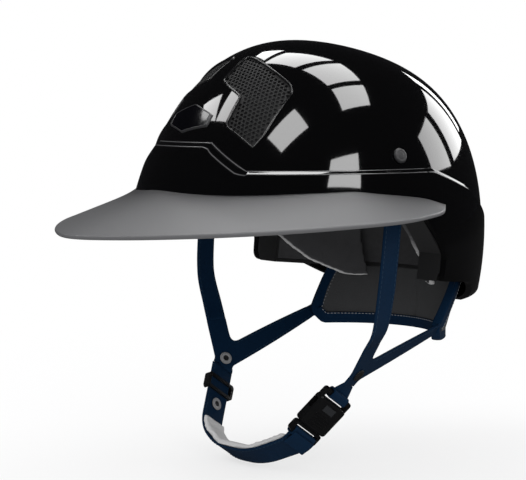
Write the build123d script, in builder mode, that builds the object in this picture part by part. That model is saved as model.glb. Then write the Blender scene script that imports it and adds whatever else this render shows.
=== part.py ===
from build123d import *
import os
from math import ceil, cos, radians, sin

# A riding helmet of the jockey kind: a gloss shell with two mesh vents, a fixed wide brim,
# a foam liner with comfort pads, a nape panel, and a webbing harness with a chin strap,
# a slider and a side release buckle.
# Millimetres. +Z is up, the face looks along -Y, and the wearer's left is +X.
# The origin is the middle of the head, level with the ears.

# Shell
shell_half_width = 112.0
shell_half_length = 142.0
shell_height = 153.5
shell_thickness = 3.0
shell_lean = 14.8            # degrees that the crown leans back
rim_curl = 25.0              # depth over which the lower rim closes in
plan_power = 2.74            # squareness of the shell seen from the side walls inwards
rise_power = 2.03            # squareness of its rise
lower_power = 2.0            # squareness of the curl under the widest ring
upper_ring_angles = (14, 28, 43, 58, 71, 81, 87)
lower_ring_angles = (22, 42)
fit_gap = 0.3                # gap between pieces that lie against each other
overrun = 40.0               # how far a cutting solid runs past what it cuts

# Raised lower band of the shell
band_step = 2.4
plateau_half_width = 31.0
plateau_height = 84.0
slope_half_width = 59.0
ledge_height = 65.0
ledge_back_y = 28.0
ledge_turn_y = 71.0
ledge_turn_z = 51.0
ledge_end_y = 130.0
ledge_end_z = 18.0

# Lower edge of the shell, seen from the side
front_edge_z = 38.0
ear_top_y = 13.0
ear_top_z = 33.0
ear_back_y = 37.0
ear_back_z = 3.0
ear_low_y = 34.5
ear_low_z = -16.5
side_low_y = 74.0
side_low_z = -20.0
nape_edge_y = 105.0
nape_edge_drop = 20.0

# Foam liner and the space for the head
head_half_width = 81.0
head_half_length = 102.0
head_height = 121.0
pad_thickness = 6.0
trim_height = 2.5
straight_curl = 150.0        # inner walls run nearly straight down

# Vents
vent_width = 56.4
vent_height = 87.0
vent_turn = 30.6             # degrees from the front towards the side
vent_rise = 42.0             # degrees above the horizon
vent_place_shares = (0.289, 0.568, 0.755)
vent_frame_width = 1.5
vent_frame_proud = 0.5
mesh_thickness = 1.2
mesh_sunk = 1.0
mesh_pitch = 6.6             # between the middles of neighbouring holes
mesh_hole_radius = 3.0       # from a hole's middle to its corners
mesh_border = 1.0
mesh_spare_rows = 2
whole_hole_share = 0.98      # a hole that the border cuts smaller than this is left out
vent_pocket_depth = 14.0
vent_outline_shares = (
    (-0.424, 0.151),
    (-0.278, 0.414),
    (-0.222, 0.470),
    (-0.064, 0.416),
    (0.528, 0.115),
    (0.576, 0.034),
    (0.353, -0.405),
    (0.238, -0.530),
    (-0.174, -0.349),
    (-0.179, -0.295),
    (-0.083, -0.060),
    (-0.268, 0.039),
)

# Front badge, a bare six sided plate
badge_width = 54.0
badge_height = 22.0
badge_side_share = 0.36
badge_depth = 4.0            # how far its slanting sides reach back over the shell's curve
badge_proud = 2.0
badge_face_shares = (0.74, 0.86)
badge_rise = 33.6            # degrees that its face looks up
badge_y_share = 0.766
badge_z_share = 0.65

# Side rivets that carry the front straps
rivet_y = -1.3
rivet_z_share = 0.479
rivet_rise = 17.0            # degrees above the horizon
rivet_turn = 87.3            # degrees from the front towards the side
rivet_head_radius = 5.4
rivet_head_height = 2.2
rivet_dome_round = 0.9
rivet_shank_radius = 2.0
rivet_shank_gap = 0.15
washer_radius = 5.0
washer_thickness = 1.0

# Brim
brim_half_width = 148.0
brim_front_y = -210.0
brim_side_y = -36.0
brim_end_half_width = 108.0
brim_end_y = 38.0
brim_rim_z = 36.4
brim_rim_slope = 3.6         # degrees that the rim drops to the front
brim_rim_height = 2.6
brim_thickness = 3.4
brim_rim_inset = 3.0
collar_half_width = 100.0
collar_end_half_width = 72.0
collar_front_y = -127.0
brim_back_y = 66.0
collar_z = 52.0
collar_slope = -0.7
brim_seat_gap = 0.3
brim_front_shares = ((0.257, 0.927), (0.574, 0.718), (0.824, 0.437), (0.980, 0.116))
brim_back_shares = ((0.980, 0.230), (0.905, 0.622))

# Straps
web_width = 16.0
web_thickness = 1.6
loop_lean = 35.0             # degrees that the chin loop leans forward
loop_y = -17.0
loop_z = -86.0
strap_y = -15.0
strap_lane_gap = 0.5
strap_level_shares = (0.565, 0.479, 0.410, 0.293, 0.130)
strap_rise = 8.5             # how far the strap reaches above its rivet
strap_bend_x = 103.5
strap_bend_z = -26.0
limb_x = 91.5
limb_y = -17.0
limb_z = -60.0
rear_x = 72.0
rear_y = 62.5
rear_z = -58.0
left_junction_x = 76.3
left_junction_y = -14.8
left_junction_z = -84.0
right_junction_x = 77.0
right_junction_y = -19.0
right_junction_z = -89.0
crotch_round = 8.0
stem_lead = 9.0
right_stem_lead = 3.0

# Chin strap, in the plane of the chin loop
chin_width = 22.0
chin_pad_thickness = 5.0
loop_half_width = 75.0
loop_drop = 73.0
loop_start_shares = (-0.995, -0.165)
loop_turn_shares = (-0.68, -0.877)
loop_low_shares = (-0.32, -1.04)
loop_rise_shares = (0.173, -1.027)
loop_bend = 20.0
chin_pad_top_share = 0.74
loop_lead = 6.5

# Side release buckle, along its own axis
buckle_centre_shares = (0.76, -0.43)
buckle_angle = 64.0          # degrees from the X axis, in the plane of the chin loop
socket_length = 24.5
socket_width = 27.0
socket_thickness = 9.0
cavity_width = 19.0
cavity_thickness = 4.7
socket_back_wall = 3.5
buckle_slot = 3.4
buckle_bar = 3.6
buckle_lug_thickness = 5.0
socket_round = 2.4
socket_edge_round = 1.6
window_length = 8.45
plug_flange = 2.6
tongue_width = 5.0
tongue_thickness = 4.0
prong_width = 2.3
prong_place = 8.0
prong_head_length = 5.6
prong_head_reach = 3.4
prong_shoulder_gap = 0.45
prong_knuckle_radius = 0.9
prong_neck_width = 1.2
plug_gap = 0.35
tongue_end = 6.0

# Slider on the wearer's right
slider_length = 13.0
slider_rail = 2.4
slider_bar = 2.6
slider_bar_height = 1.6
slider_gap = 0.35
slider_place = 17.0          # from the top of the straight run

# Snaps
snap_radius = 4.8
snap_height = 1.5
snap_shank_radius = 1.0
low_snap_place = 33.0

# Nape panel and its edging
nape_low_z = -67.0
nape_centre_y = 30.0
nape_top_half_width = 95.0
nape_top_half_length = 90.0
nape_low_half_width = 76.0
nape_low_half_length = 84.0
nape_thickness = 5.0
nape_front_y = 84.0
nape_corner_y = 63.0
nape_corner_z = -56.0
nape_low_y = 72.0
edging_width = 9.0
edging_extra = 0.8
nape_stud_radius = 3.0
nape_stud_length = 8.0
nape_stud_turn = 40.0        # degrees round from the back

# Comfort pads
brow_pad_back_y = -52.0
brow_pad_low_z = 43.0
brow_pad_top_z = 80.0
side_pad_front_y = -48.0
side_pad_top_z = 44.0
side_pad_lobe_y = 82.0
side_pad_lobe_z = -28.0
side_pad_waist_y = 58.0
side_pad_waist_z = -15.0
side_pad_back_y = 92.0
crown_pad_radius = 42.0
crown_pad_y = 31.0
crown_pad_low_z = 60.0


def superellipse(half_width, rise, power, angle):
    return (half_width * cos(radians(angle)) ** (2 / plan_power),
            rise * sin(radians(angle)) ** (2 / power))


def ring_loft(levels, length_share):
    """A smooth solid through level ellipses, each given by its half width and its height."""
    sections = []
    with BuildPart() as body:
        for half_width, level in levels:
            with BuildSketch(Plane.XY.offset(level)) as section:
                Ellipse(half_width, half_width * length_share)
            sections.append(section.sketch)
        loft(sections=sections)
    return body.part


def dome(half_width, half_length, height, curl):
    """The leaning egg shape that the shell, the liner and the pads are cut from."""
    widest = (half_width, 0)
    upper = [superellipse(half_width, height, rise_power, angle) for angle in upper_ring_angles]
    lower = [superellipse(half_width, -curl, lower_power, angle) for angle in lower_ring_angles]
    with BuildPart() as body:
        add(ring_loft([widest, *upper], half_length / half_width))
        add(ring_loft([widest, *lower], half_length / half_width))
    return body.part.rotate(Axis.X, -shell_lean)


def shell_side_x(inset, y, z):
    """Half the shell's width at a place seen from the side, on its surface moved inwards by inset."""
    along = y * cos(radians(shell_lean)) - z * sin(radians(shell_lean))
    up = y * sin(radians(shell_lean)) + z * cos(radians(shell_lean))
    ring_share = (1 - (up / (shell_height - inset)) ** rise_power) ** (1 / plan_power)
    return (shell_half_width - inset) * (ring_share ** 2 - (along / (shell_half_length - inset)) ** 2) ** 0.5


def shell_dome(inset):
    """The shell's outside, moved inwards by inset."""
    return dome(shell_half_width - inset, shell_half_length - inset, shell_height - inset, rim_curl)


def head_dome(growth):
    """The space for the head, moved outwards by growth."""
    return dome(head_half_width + growth, head_half_length + growth, head_height + growth, straight_curl)


os.makedirs("parts", exist_ok=True)
reach_x = shell_half_width + overrun
reach_y = shell_half_length + overrun
floor_z = -shell_height


def below_edge(rise, nape_drop):
    """Everything under the lower edge, with that edge moved up by rise and dipping by nape_drop behind."""
    with BuildPart() as region:
        with BuildSketch(Plane.YZ):
            with BuildLine():
                Polyline(
                    (-reach_y, front_edge_z + rise),
                    (ear_top_y + rise, ear_top_z + rise),
                    (ear_back_y + rise, ear_back_z + rise),
                    (ear_low_y + rise, ear_low_z + rise),
                    (side_low_y + rise, side_low_z + rise),
                    (nape_edge_y + rise, side_low_z + rise - nape_drop),
                    (reach_y, side_low_z + rise - nape_drop),
                    (reach_y, floor_z),
                    (-reach_y, floor_z),
                    close=True,
                )
            make_face()
        extrude(amount=reach_x, both=True)
    return region.part


def below_ledge():
    """Everything under the crease that runs round the shell."""
    with BuildPart() as region:
        with BuildSketch(Plane.XZ):
            with BuildLine():
                Polyline(
                    (-reach_x, floor_z),
                    (-reach_x, ledge_height),
                    (-slope_half_width, ledge_height),
                    (-plateau_half_width, plateau_height),
                    (plateau_half_width, plateau_height),
                    (slope_half_width, ledge_height),
                    (reach_x, ledge_height),
                    (reach_x, floor_z),
                    close=True,
                )
            make_face()
        extrude(amount=reach_y)
        with BuildSketch(Plane.YZ):
            with BuildLine():
                Polyline(
                    (0, floor_z),
                    (0, ledge_height),
                    (ledge_back_y, ledge_height),
                    (ledge_turn_y, ledge_turn_z),
                    (ledge_end_y, ledge_end_z),
                    (reach_y, ledge_end_z),
                    (reach_y, floor_z),
                    close=True,
                )
            make_face()
        extrude(amount=reach_x, both=True)
    return region.part


shell_outside = shell_dome(0)
shell_inside = shell_dome(shell_thickness)
liner_outside = shell_dome(shell_thickness + fit_gap)
liner_inside = head_dome(pad_thickness + fit_gap)
pad_outside = head_dome(pad_thickness)
head_space = head_dome(0)
under_shell = below_edge(0, nape_edge_drop)
under_trim = below_edge(0, 0)
under_liner = below_edge(trim_height + fit_gap, 0)

# Vents: one outline in a leaning plane cuts the shell, the foam, the frame and the mesh
vent_plane = Plane(
    origin=(vent_place_shares[0] * shell_half_width,
            -vent_place_shares[1] * shell_half_length,
            vent_place_shares[2] * shell_height),
    x_dir=(cos(radians(vent_turn)), sin(radians(vent_turn)), 0),
    z_dir=(cos(radians(vent_rise)) * sin(radians(vent_turn)),
           -cos(radians(vent_rise)) * cos(radians(vent_turn)),
           sin(radians(vent_rise))),
)


def vent_sketch(inset, depth):
    """The vent's outline drawn in by inset, at depth under its plane."""
    with BuildSketch(vent_plane.offset(-depth)) as outline:
        with BuildLine():
            Polyline(*[(across * vent_width, up * vent_height) for across, up in vent_outline_shares],
                     close=True)
        make_face()
        offset(amount=-inset, kind=Kind.INTERSECTION)
    return outline.sketch


def vent_prism(inset, depth):
    """Everything inside that outline, from there outwards."""
    with BuildPart() as prism:
        extrude(vent_sketch(inset, depth), amount=overrun)
    return prism.part


vent_hole = vent_prism(0, vent_pocket_depth)
vent_frame_outline = vent_prism(fit_gap, vent_pocket_depth)
vent_frame_opening = vent_prism(fit_gap + vent_frame_width, vent_pocket_depth)

# Side rivets: the plane of the left one lies on the shell, and its Z runs outwards
rivet_z = rivet_z_share * shell_height
rivet_plane = Plane(
    origin=(shell_side_x(0, rivet_y, rivet_z), rivet_y, rivet_z),
    x_dir=(0, 1, 0),
    z_dir=(cos(radians(rivet_rise)) * sin(radians(rivet_turn)),
           -cos(radians(rivet_rise)) * cos(radians(rivet_turn)),
           sin(radians(rivet_rise))),
)
lane_clearance = strap_lane_gap + strap_lane_gap
rivet_grip = shell_thickness + lane_clearance + web_thickness + strap_lane_gap + washer_thickness


def both_sides(piece):
    """A piece and its mirror image on the other side of the helmet."""
    return [piece, mirror(piece, about=Plane.YZ)]


with BuildPart() as rivet_hole:
    with BuildSketch(rivet_plane.offset(-overrun)):
        Circle(rivet_shank_radius + rivet_shank_gap)
    extrude(amount=overrun + rivet_head_height)

with BuildPart() as rivet_pocket:
    with BuildSketch(rivet_plane.offset(-rivet_grip - washer_thickness - strap_lane_gap)):
        Circle(washer_radius + strap_lane_gap)
    extrude(amount=rivet_grip)

# Strap lane: the front strap runs between the shell and the foam, from the rivet down
strap_top_z = rivet_z + strap_rise
lane_inset = shell_thickness + lane_clearance + web_thickness / 2
lane_levels = [share * shell_height for share in strap_level_shares]
lane_points = [(shell_side_x(lane_inset, strap_y + (rivet_y - strap_y) * level / strap_top_z, level), level)
               for level in lane_levels]
lane_points.append((strap_bend_x, strap_bend_z))


def lane(thickness, width, top):
    """The run of the left front strap inside the shell, up to top."""
    outer_side = [(x + thickness / 2, z) for x, z in lane_points]
    inner_side = [(x - thickness / 2, z) for x, z in reversed(lane_points)]
    with BuildPart() as ribbon:
        with BuildSketch(Plane.XZ):
            with BuildLine():
                Polyline(*outer_side, *inner_side, close=True)
            make_face()
        extrude(amount=overrun, both=True)
        with BuildSketch(Plane.YZ):
            with BuildLine():
                Polyline(
                    (rivet_y + width / 2, top),
                    (strap_y + width / 2, 0),
                    (strap_y + width / 2, strap_bend_z),
                    (strap_y - width / 2, strap_bend_z),
                    (strap_y - width / 2, 0),
                    (rivet_y - width / 2, top),
                    close=True,
                )
            make_face()
        extrude(amount=reach_x, mode=Mode.INTERSECT)
    return ribbon.part


lane_cut = both_sides(lane(web_thickness + lane_clearance, web_width + lane_clearance,
                           strap_top_z + strap_lane_gap))


# Pegs that hold the nape panel under the foam
nape_mid_half_width = nape_top_half_width - nape_thickness / 2
nape_mid_half_length = nape_top_half_length - nape_thickness / 2


def nape_pegs(growth):
    """The two pegs, grown by growth."""
    with BuildPart() as pegs:
        with BuildSketch(Plane.XY.offset(side_low_z)):
            with Locations(
                (nape_mid_half_width * sin(radians(nape_stud_turn)),
                 nape_centre_y + nape_mid_half_length * cos(radians(nape_stud_turn))),
                (-nape_mid_half_width * sin(radians(nape_stud_turn)),
                 nape_centre_y + nape_mid_half_length * cos(radians(nape_stud_turn))),
            ):
                Circle(nape_stud_radius / 2 + growth)
        extrude(amount=nape_stud_length + growth, both=True)
    return pegs.part


peg_holes = nape_pegs(fit_gap)

# Outer shell
with BuildPart() as band:
    add(shell_dome(-band_step))
    add(below_ledge(), mode=Mode.INTERSECT)

with BuildPart() as outer_shell:
    add(shell_outside)
    add(band.part)
    add(shell_inside, mode=Mode.SUBTRACT)
    add(under_shell, mode=Mode.SUBTRACT)
    add(both_sides(vent_hole), mode=Mode.SUBTRACT)
    add(both_sides(rivet_hole.part), mode=Mode.SUBTRACT)
outer_shell.part.label = "outer_shell"
export_step(outer_shell.part, "parts/outer_shell.step")

# Foam liner, with lanes for the straps and pockets behind the vents and the rivets
with BuildPart() as eps_liner:
    add(liner_outside)
    add(liner_inside, mode=Mode.SUBTRACT)
    add(under_liner, mode=Mode.SUBTRACT)
    add(both_sides(vent_hole), mode=Mode.SUBTRACT)
    add(both_sides(rivet_pocket.part), mode=Mode.SUBTRACT)
    add(lane_cut, mode=Mode.SUBTRACT)
    add(peg_holes, mode=Mode.SUBTRACT)
eps_liner.part.label = "eps_liner"
export_step(eps_liner.part, "parts/eps_liner.step")

# Rubber trim that closes the foam's lower face
with BuildPart() as edge_trim:
    add(liner_outside)
    add(liner_inside, mode=Mode.SUBTRACT)
    add(below_edge(trim_height, 0), mode=Mode.INTERSECT)
    add(under_trim, mode=Mode.SUBTRACT)
    add(lane_cut, mode=Mode.SUBTRACT)
    add(peg_holes, mode=Mode.SUBTRACT)
edge_trim.part.label = "edge_trim"
export_step(edge_trim.part, "parts/edge_trim.step")

# Comfort pads, all cut from one layer that lies inside the foam
with BuildPart() as pad_layer:
    add(pad_outside)
    add(head_space, mode=Mode.SUBTRACT)

with BuildPart() as brow_pad:
    with BuildSketch(Plane.YZ):
        with BuildLine():
            Polyline((-reach_y, brow_pad_low_z), (brow_pad_back_y, brow_pad_low_z),
                     (brow_pad_back_y, brow_pad_top_z), (-reach_y, brow_pad_top_z), close=True)
        make_face()
    extrude(amount=reach_x, both=True)
    add(pad_layer.part, mode=Mode.INTERSECT)
brow_pad.part.label = "brow_pad"
export_step(brow_pad.part, "parts/brow_pad.step")

with BuildPart() as side_pad_left:
    with BuildSketch(Plane.YZ):
        with BuildLine():
            Polyline(
                (side_pad_front_y, side_pad_top_z),
                (side_pad_front_y, brow_pad_low_z),
                (ear_top_y, ear_top_z),
                (ear_back_y, ear_back_z),
                (side_pad_waist_y, side_pad_waist_z),
                (side_pad_lobe_y, side_pad_lobe_z),
                (side_pad_back_y, side_pad_lobe_z),
                (side_pad_back_y, side_pad_top_z),
                close=True,
            )
        make_face()
    extrude(amount=reach_x)
    add(pad_layer.part, mode=Mode.INTERSECT)
side_pad_left.part.label = "side_pad_left"
export_step(side_pad_left.part, "parts/side_pad_left.step")

with BuildPart() as side_pad_right:
    mirror(side_pad_left.part, about=Plane.YZ)
side_pad_right.part.label = "side_pad_right"
export_step(side_pad_right.part, "parts/side_pad_right.step")

with BuildPart() as crown_pad:
    with BuildSketch(Plane.XY.offset(crown_pad_low_z)):
        with Locations((0, crown_pad_y)):
            Circle(crown_pad_radius)
    extrude(amount=shell_height)
    add(pad_layer.part, mode=Mode.INTERSECT)
crown_pad.part.label = "crown_pad"
export_step(crown_pad.part, "parts/crown_pad.step")

# Vent frames and mesh
with BuildPart() as vent_frame_left:
    add(vent_frame_outline)
    add(vent_frame_opening, mode=Mode.SUBTRACT)
    add(shell_dome(-vent_frame_proud), mode=Mode.INTERSECT)
    add(shell_inside, mode=Mode.SUBTRACT)
vent_frame_left.part.label = "vent_frame_left"
export_step(vent_frame_left.part, "parts/vent_frame_left.step")

with BuildPart() as vent_frame_right:
    mirror(vent_frame_left.part, about=Plane.YZ)
vent_frame_right.part.label = "vent_frame_right"
export_step(vent_frame_right.part, "parts/vent_frame_right.step")

mesh_inset = fit_gap + vent_frame_width + fit_gap
with BuildSketch(vent_plane.offset(-vent_pocket_depth)) as mesh_pattern:
    with HexLocations(mesh_pitch / 2, ceil(vent_width / mesh_pitch) + mesh_spare_rows,
                      ceil(vent_height / mesh_pitch) + mesh_spare_rows):
        RegularPolygon(mesh_hole_radius, 6)
    add(vent_sketch(mesh_inset + mesh_border, vent_pocket_depth), mode=Mode.INTERSECT)

largest_hole = max(hole.area for hole in mesh_pattern.faces())
whole_holes = [hole for hole in mesh_pattern.faces() if hole.area > whole_hole_share * largest_hole]
with BuildPart() as mesh_holes:
    extrude(whole_holes, amount=overrun)

with BuildPart() as vent_mesh_left:
    add(vent_prism(mesh_inset, vent_pocket_depth))
    add(shell_dome(mesh_sunk), mode=Mode.INTERSECT)
    add(shell_dome(mesh_sunk + mesh_thickness), mode=Mode.SUBTRACT)
    add(mesh_holes.part, mode=Mode.SUBTRACT)
vent_mesh_left.part.label = "vent_mesh_left"
export_step(vent_mesh_left.part, "parts/vent_mesh_left.step")

with BuildPart() as vent_mesh_right:
    mirror(vent_mesh_left.part, about=Plane.YZ)
vent_mesh_right.part.label = "vent_mesh_right"
export_step(vent_mesh_right.part, "parts/vent_mesh_right.step")

# Front badge
badge_plane = Plane(
    origin=(0, -badge_y_share * shell_half_length, badge_z_share * shell_height),
    x_dir=(1, 0, 0),
    z_dir=(0, -cos(radians(badge_rise)), sin(radians(badge_rise))),
)


def badge_outline(width, height):
    """The badge's six sides."""
    Polyline(
        (0, height / 2),
        (width / 2, badge_side_share * height / 2),
        (width / 2, -badge_side_share * height / 2),
        (0, -height / 2),
        (-width / 2, -badge_side_share * height / 2),
        (-width / 2, badge_side_share * height / 2),
        close=True,
    )


with BuildPart() as front_badge:
    with BuildSketch(badge_plane.offset(-badge_depth)):
        with BuildLine():
            badge_outline(badge_width, badge_height)
        make_face()
    with BuildSketch(badge_plane.offset(badge_proud)):
        with BuildLine():
            badge_outline(badge_width * badge_face_shares[0], badge_height * badge_face_shares[1])
        make_face()
    loft(ruled=True)
    add(shell_dome(-fit_gap), mode=Mode.SUBTRACT)
front_badge.part.label = "front_badge"
export_step(front_badge.part, "parts/front_badge.step")

# Side rivets and the washers that hold the front straps
with BuildPart() as rivet:
    with BuildSketch(rivet_plane.offset(fit_gap)):
        Circle(rivet_head_radius)
    extrude(amount=rivet_head_height)
    fillet(rivet.faces().sort_by(Axis.X)[-1].edges(), radius=rivet_dome_round)
    with BuildSketch(rivet_plane.offset(-rivet_grip - fit_gap)):
        Circle(rivet_shank_radius)
    extrude(amount=rivet_grip + fit_gap + fit_gap)

with BuildPart() as side_rivets:
    add(both_sides(rivet.part))
side_rivets.part.label = "side_rivets"
export_step(side_rivets.part, "parts/side_rivets.step")

with BuildPart() as washer:
    with BuildSketch(rivet_plane.offset(-rivet_grip)):
        Circle(washer_radius)
        Circle(rivet_shank_radius + rivet_shank_gap, mode=Mode.SUBTRACT)
    extrude(amount=washer_thickness)

with BuildPart() as rivet_washers:
    add(both_sides(washer.part))
rivet_washers.part.label = "rivet_washers"
export_step(rivet_washers.part, "parts/rivet_washers.step")

# Brim: a sloping plate lofted from the rim to a collar that lies inside the shell
rim_plane = Plane(origin=(0, 0, brim_rim_z), x_dir=(1, 0, 0),
                  z_dir=(0, -sin(radians(brim_rim_slope)), cos(radians(brim_rim_slope))))
collar_plane = Plane(origin=(0, 0, collar_z), x_dir=(1, 0, 0),
                     z_dir=(0, -sin(radians(collar_slope)), cos(radians(collar_slope))))


def brim_outline(half_width, front_y, end_half_width, end_y, back_y):
    """The brim's outline in plan: one half from the front round to the back, and its mirror image."""
    front = [(across * half_width, brim_side_y + along * (front_y - brim_side_y))
             for across, along in brim_front_shares]
    back = [(across * half_width, brim_side_y + along * (end_y - brim_side_y))
            for across, along in brim_back_shares]
    Spline((0, front_y), *front, (half_width, brim_side_y), *back, (end_half_width, end_y), (0, back_y),
           tangents=((1, 0), (-1, 0)))
    mirror(about=Plane.YZ)


def brim_cone(inset, drop):
    """The brim's outside, drawn in by inset and lowered by drop."""
    with BuildPart() as cone:
        with BuildSketch(rim_plane.offset(-drop)) as rim:
            with BuildLine():
                brim_outline(brim_half_width - inset, brim_front_y + inset,
                             brim_end_half_width - inset, brim_end_y, brim_back_y - inset)
            make_face()
        with BuildSketch(collar_plane.offset(-drop)) as collar:
            with BuildLine():
                brim_outline(collar_half_width, collar_front_y, collar_end_half_width, brim_end_y,
                             brim_back_y - inset)
            make_face()
        loft(ruled=True)
        extrude(rim.sketch, amount=-brim_rim_height - drop)
    return cone.part


with BuildPart() as brim:
    add(brim_cone(0, 0))
    add(brim_cone(brim_rim_inset, brim_thickness), mode=Mode.SUBTRACT)
    add(shell_dome(-band_step - brim_seat_gap), mode=Mode.SUBTRACT)
    with BuildSketch(rim_plane.offset(-brim_rim_height - brim_thickness)):
        Rectangle(reach_x + reach_x, reach_y + reach_y + reach_y)
    extrude(amount=-overrun, mode=Mode.SUBTRACT)
brim.part.label = "brim"
export_step(brim.part, "parts/brim.step")

# Nape panel: a band round the back of the neck, hung under the foam
nape_top_z = side_low_z - fit_gap


def nape_cone(growth):
    """A cone of level ellipses that narrows towards the neck, widened by growth."""
    with BuildPart() as cone:
        for half_width, half_length, level in (
            (nape_top_half_width, nape_top_half_length, nape_top_z),
            (nape_low_half_width, nape_low_half_length, nape_low_z),
        ):
            with BuildSketch(Plane.XY.offset(level)):
                with Locations((0, nape_centre_y)):
                    Ellipse(half_width + growth, half_length + growth)
        loft(ruled=True)
    return cone.part


def nape_ring(growth):
    """The panel's curved layer all the way round, thickened by growth on each side."""
    with BuildPart() as ring:
        add(nape_cone(growth))
        add(nape_cone(-nape_thickness - growth), mode=Mode.SUBTRACT)
    return ring.part


def nape_side(inset):
    """The panel's outline seen from the side, drawn in by inset from its front and lower edges."""
    with BuildPart() as side:
        with BuildSketch(Plane.YZ):
            with BuildLine():
                Polyline(
                    (nape_front_y, nape_top_z),
                    (nape_corner_y, nape_corner_z),
                    (nape_low_y, nape_low_z),
                    (reach_y, nape_low_z),
                    (reach_y, nape_top_z),
                    close=True,
                )
            make_face()
            with BuildLine():
                Polyline(
                    (nape_front_y + inset, nape_top_z + inset),
                    (nape_corner_y + inset, nape_corner_z + inset / 2),
                    (nape_low_y + inset / 2, nape_low_z + inset),
                    (reach_y, nape_low_z + inset),
                    (reach_y, nape_top_z + inset),
                    close=True,
                )
            make_face(mode=Mode.INTERSECT)
        extrude(amount=reach_x, both=True)
    return side.part


with BuildPart() as nape_panel:
    add(nape_ring(0))
    add(nape_side(edging_width + fit_gap), mode=Mode.INTERSECT)
    add(peg_holes, mode=Mode.SUBTRACT)
nape_panel.part.label = "nape_panel"
export_step(nape_panel.part, "parts/nape_panel.step")

with BuildPart() as nape_edging:
    add(nape_ring(edging_extra))
    add(nape_side(0), mode=Mode.INTERSECT)
    add(nape_side(edging_width), mode=Mode.SUBTRACT)
nape_edging.part.label = "nape_edging"
export_step(nape_edging.part, "parts/nape_edging.step")

with BuildPart() as nape_studs:
    add(nape_pegs(0))
nape_studs.part.label = "nape_studs"
export_step(nape_studs.part, "parts/nape_studs.step")

# Chin loop: its plane leans forward; in it X runs to the left and Y runs up
loop_plane = Plane(origin=(0, loop_y, loop_z), x_dir=(1, 0, 0),
                   z_dir=(0, -cos(radians(loop_lean)), sin(radians(loop_lean))))


def loop_point(shares):
    return (shares[0] * loop_half_width, shares[1] * loop_drop)


def along_axis(distance):
    """A point of the loop plane on the buckle's axis, at a distance above the buckle's middle."""
    return (buckle_middle[0] + distance * cos(radians(buckle_angle)),
            buckle_middle[1] + distance * sin(radians(buckle_angle)))


buckle_middle = loop_point(buckle_centre_shares)
socket_top = socket_length / 2
socket_mouth = -socket_length / 2
lug_top = socket_top + buckle_slot + buckle_bar
plug_top = socket_mouth - plug_gap
plug_slot_top = plug_top - plug_flange
plug_bar_top = plug_slot_top - buckle_slot
plug_bottom = plug_bar_top - buckle_bar
web_loop = plug_gap + web_thickness

chin_start = loop_point(loop_start_shares)
chin_turn = loop_point(loop_turn_shares)
chin_end = along_axis(plug_bottom - web_loop + web_thickness / 2)
chin_points = [chin_start, chin_turn, loop_point(loop_low_shares), loop_point(loop_rise_shares),
               along_axis(plug_bottom - web_loop - loop_lead), chin_end]
buckle_plane = Plane(
    origin=loop_plane.from_local_coords((buckle_middle[0], buckle_middle[1], 0)),
    x_dir=loop_plane.x_dir * cos(radians(buckle_angle)) + loop_plane.y_dir * sin(radians(buckle_angle)),
    z_dir=loop_plane.x_dir * sin(radians(buckle_angle)) - loop_plane.y_dir * cos(radians(buckle_angle)),
)


def web_ring(bar_top, bar_bottom, width):
    """A loop of webbing round a buckle bar."""
    with BuildPart() as ring:
        with BuildSketch(Plane(buckle_plane.origin, x_dir=buckle_plane.x_dir, z_dir=buckle_plane.y_dir)):
            with Locations(((bar_top + bar_bottom) / 2, 0)):
                RectangleRounded(bar_top - bar_bottom + web_loop + web_loop,
                                 buckle_lug_thickness + web_loop + web_loop, web_loop)
                Rectangle(bar_top - bar_bottom + plug_gap + plug_gap,
                          buckle_lug_thickness + plug_gap + plug_gap, mode=Mode.SUBTRACT)
        extrude(amount=width / 2, both=True)
    return ring.part


# Snap positions: one on each Y of the harness and one low on the chin strap
run_length = ((chin_turn[0] - chin_start[0]) ** 2 + (chin_turn[1] - chin_start[1]) ** 2) ** 0.5
run_x = (chin_turn[0] - chin_start[0]) / run_length
run_y = (chin_turn[1] - chin_start[1]) / run_length
run_plane = Plane(
    origin=loop_plane.from_local_coords((chin_start[0], chin_start[1], 0)),
    x_dir=loop_plane.x_dir * run_x + loop_plane.y_dir * run_y,
    z_dir=loop_plane.x_dir * run_y - loop_plane.y_dir * run_x,
)
low_snap_plane = Plane(origin=run_plane.from_local_coords((low_snap_place, 0, 0)),
                       x_dir=run_plane.x_dir, z_dir=run_plane.z_dir)


def snap(plane):
    """A snap: two caps on a shank that goes through the webbing."""
    with BuildPart() as body:
        with BuildSketch(plane.offset(-web_thickness / 2 - fit_gap - snap_height)):
            Circle(snap_radius)
        extrude(amount=snap_height)
        with BuildSketch(plane.offset(web_thickness / 2 + fit_gap)):
            Circle(snap_radius)
        extrude(amount=snap_height)
        with BuildSketch(plane):
            Circle(snap_shank_radius)
        extrude(amount=web_thickness / 2 + fit_gap, both=True)
    return body.part


def snap_hole(plane):
    """The hole in the webbing for a snap's shank."""
    with BuildPart() as hole:
        with BuildSketch(plane):
            Circle(snap_shank_radius + fit_gap)
        extrude(amount=web_thickness + web_thickness, both=True)
    return hole.part


# Front and rear straps of one side: a Y of flat webbing under the shell
def yoke_plane(limb, rear, stem):
    """The plane of a Y, with X towards its rear end."""
    return Plane(origin=limb, x_dir=rear - limb, z_dir=(rear - limb).cross(stem - limb))


def flat_y(plane, ends, middle):
    """Three webs that meet at a middle, with rounded corners between them."""
    centre = plane.to_local_coords(middle)
    with BuildPart() as body:
        with BuildSketch(plane):
            for end in ends:
                with BuildLine() as web:
                    Line((centre.X, centre.Y), (plane.to_local_coords(end).X, plane.to_local_coords(end).Y))
                trace(web.line, line_width=web_width)
            with Locations((centre.X, centre.Y)):
                Circle(web_width / 2)
            offset(amount=crotch_round)
            offset(amount=-crotch_round)
        extrude(amount=web_thickness / 2, both=True)
    return body.part


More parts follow.
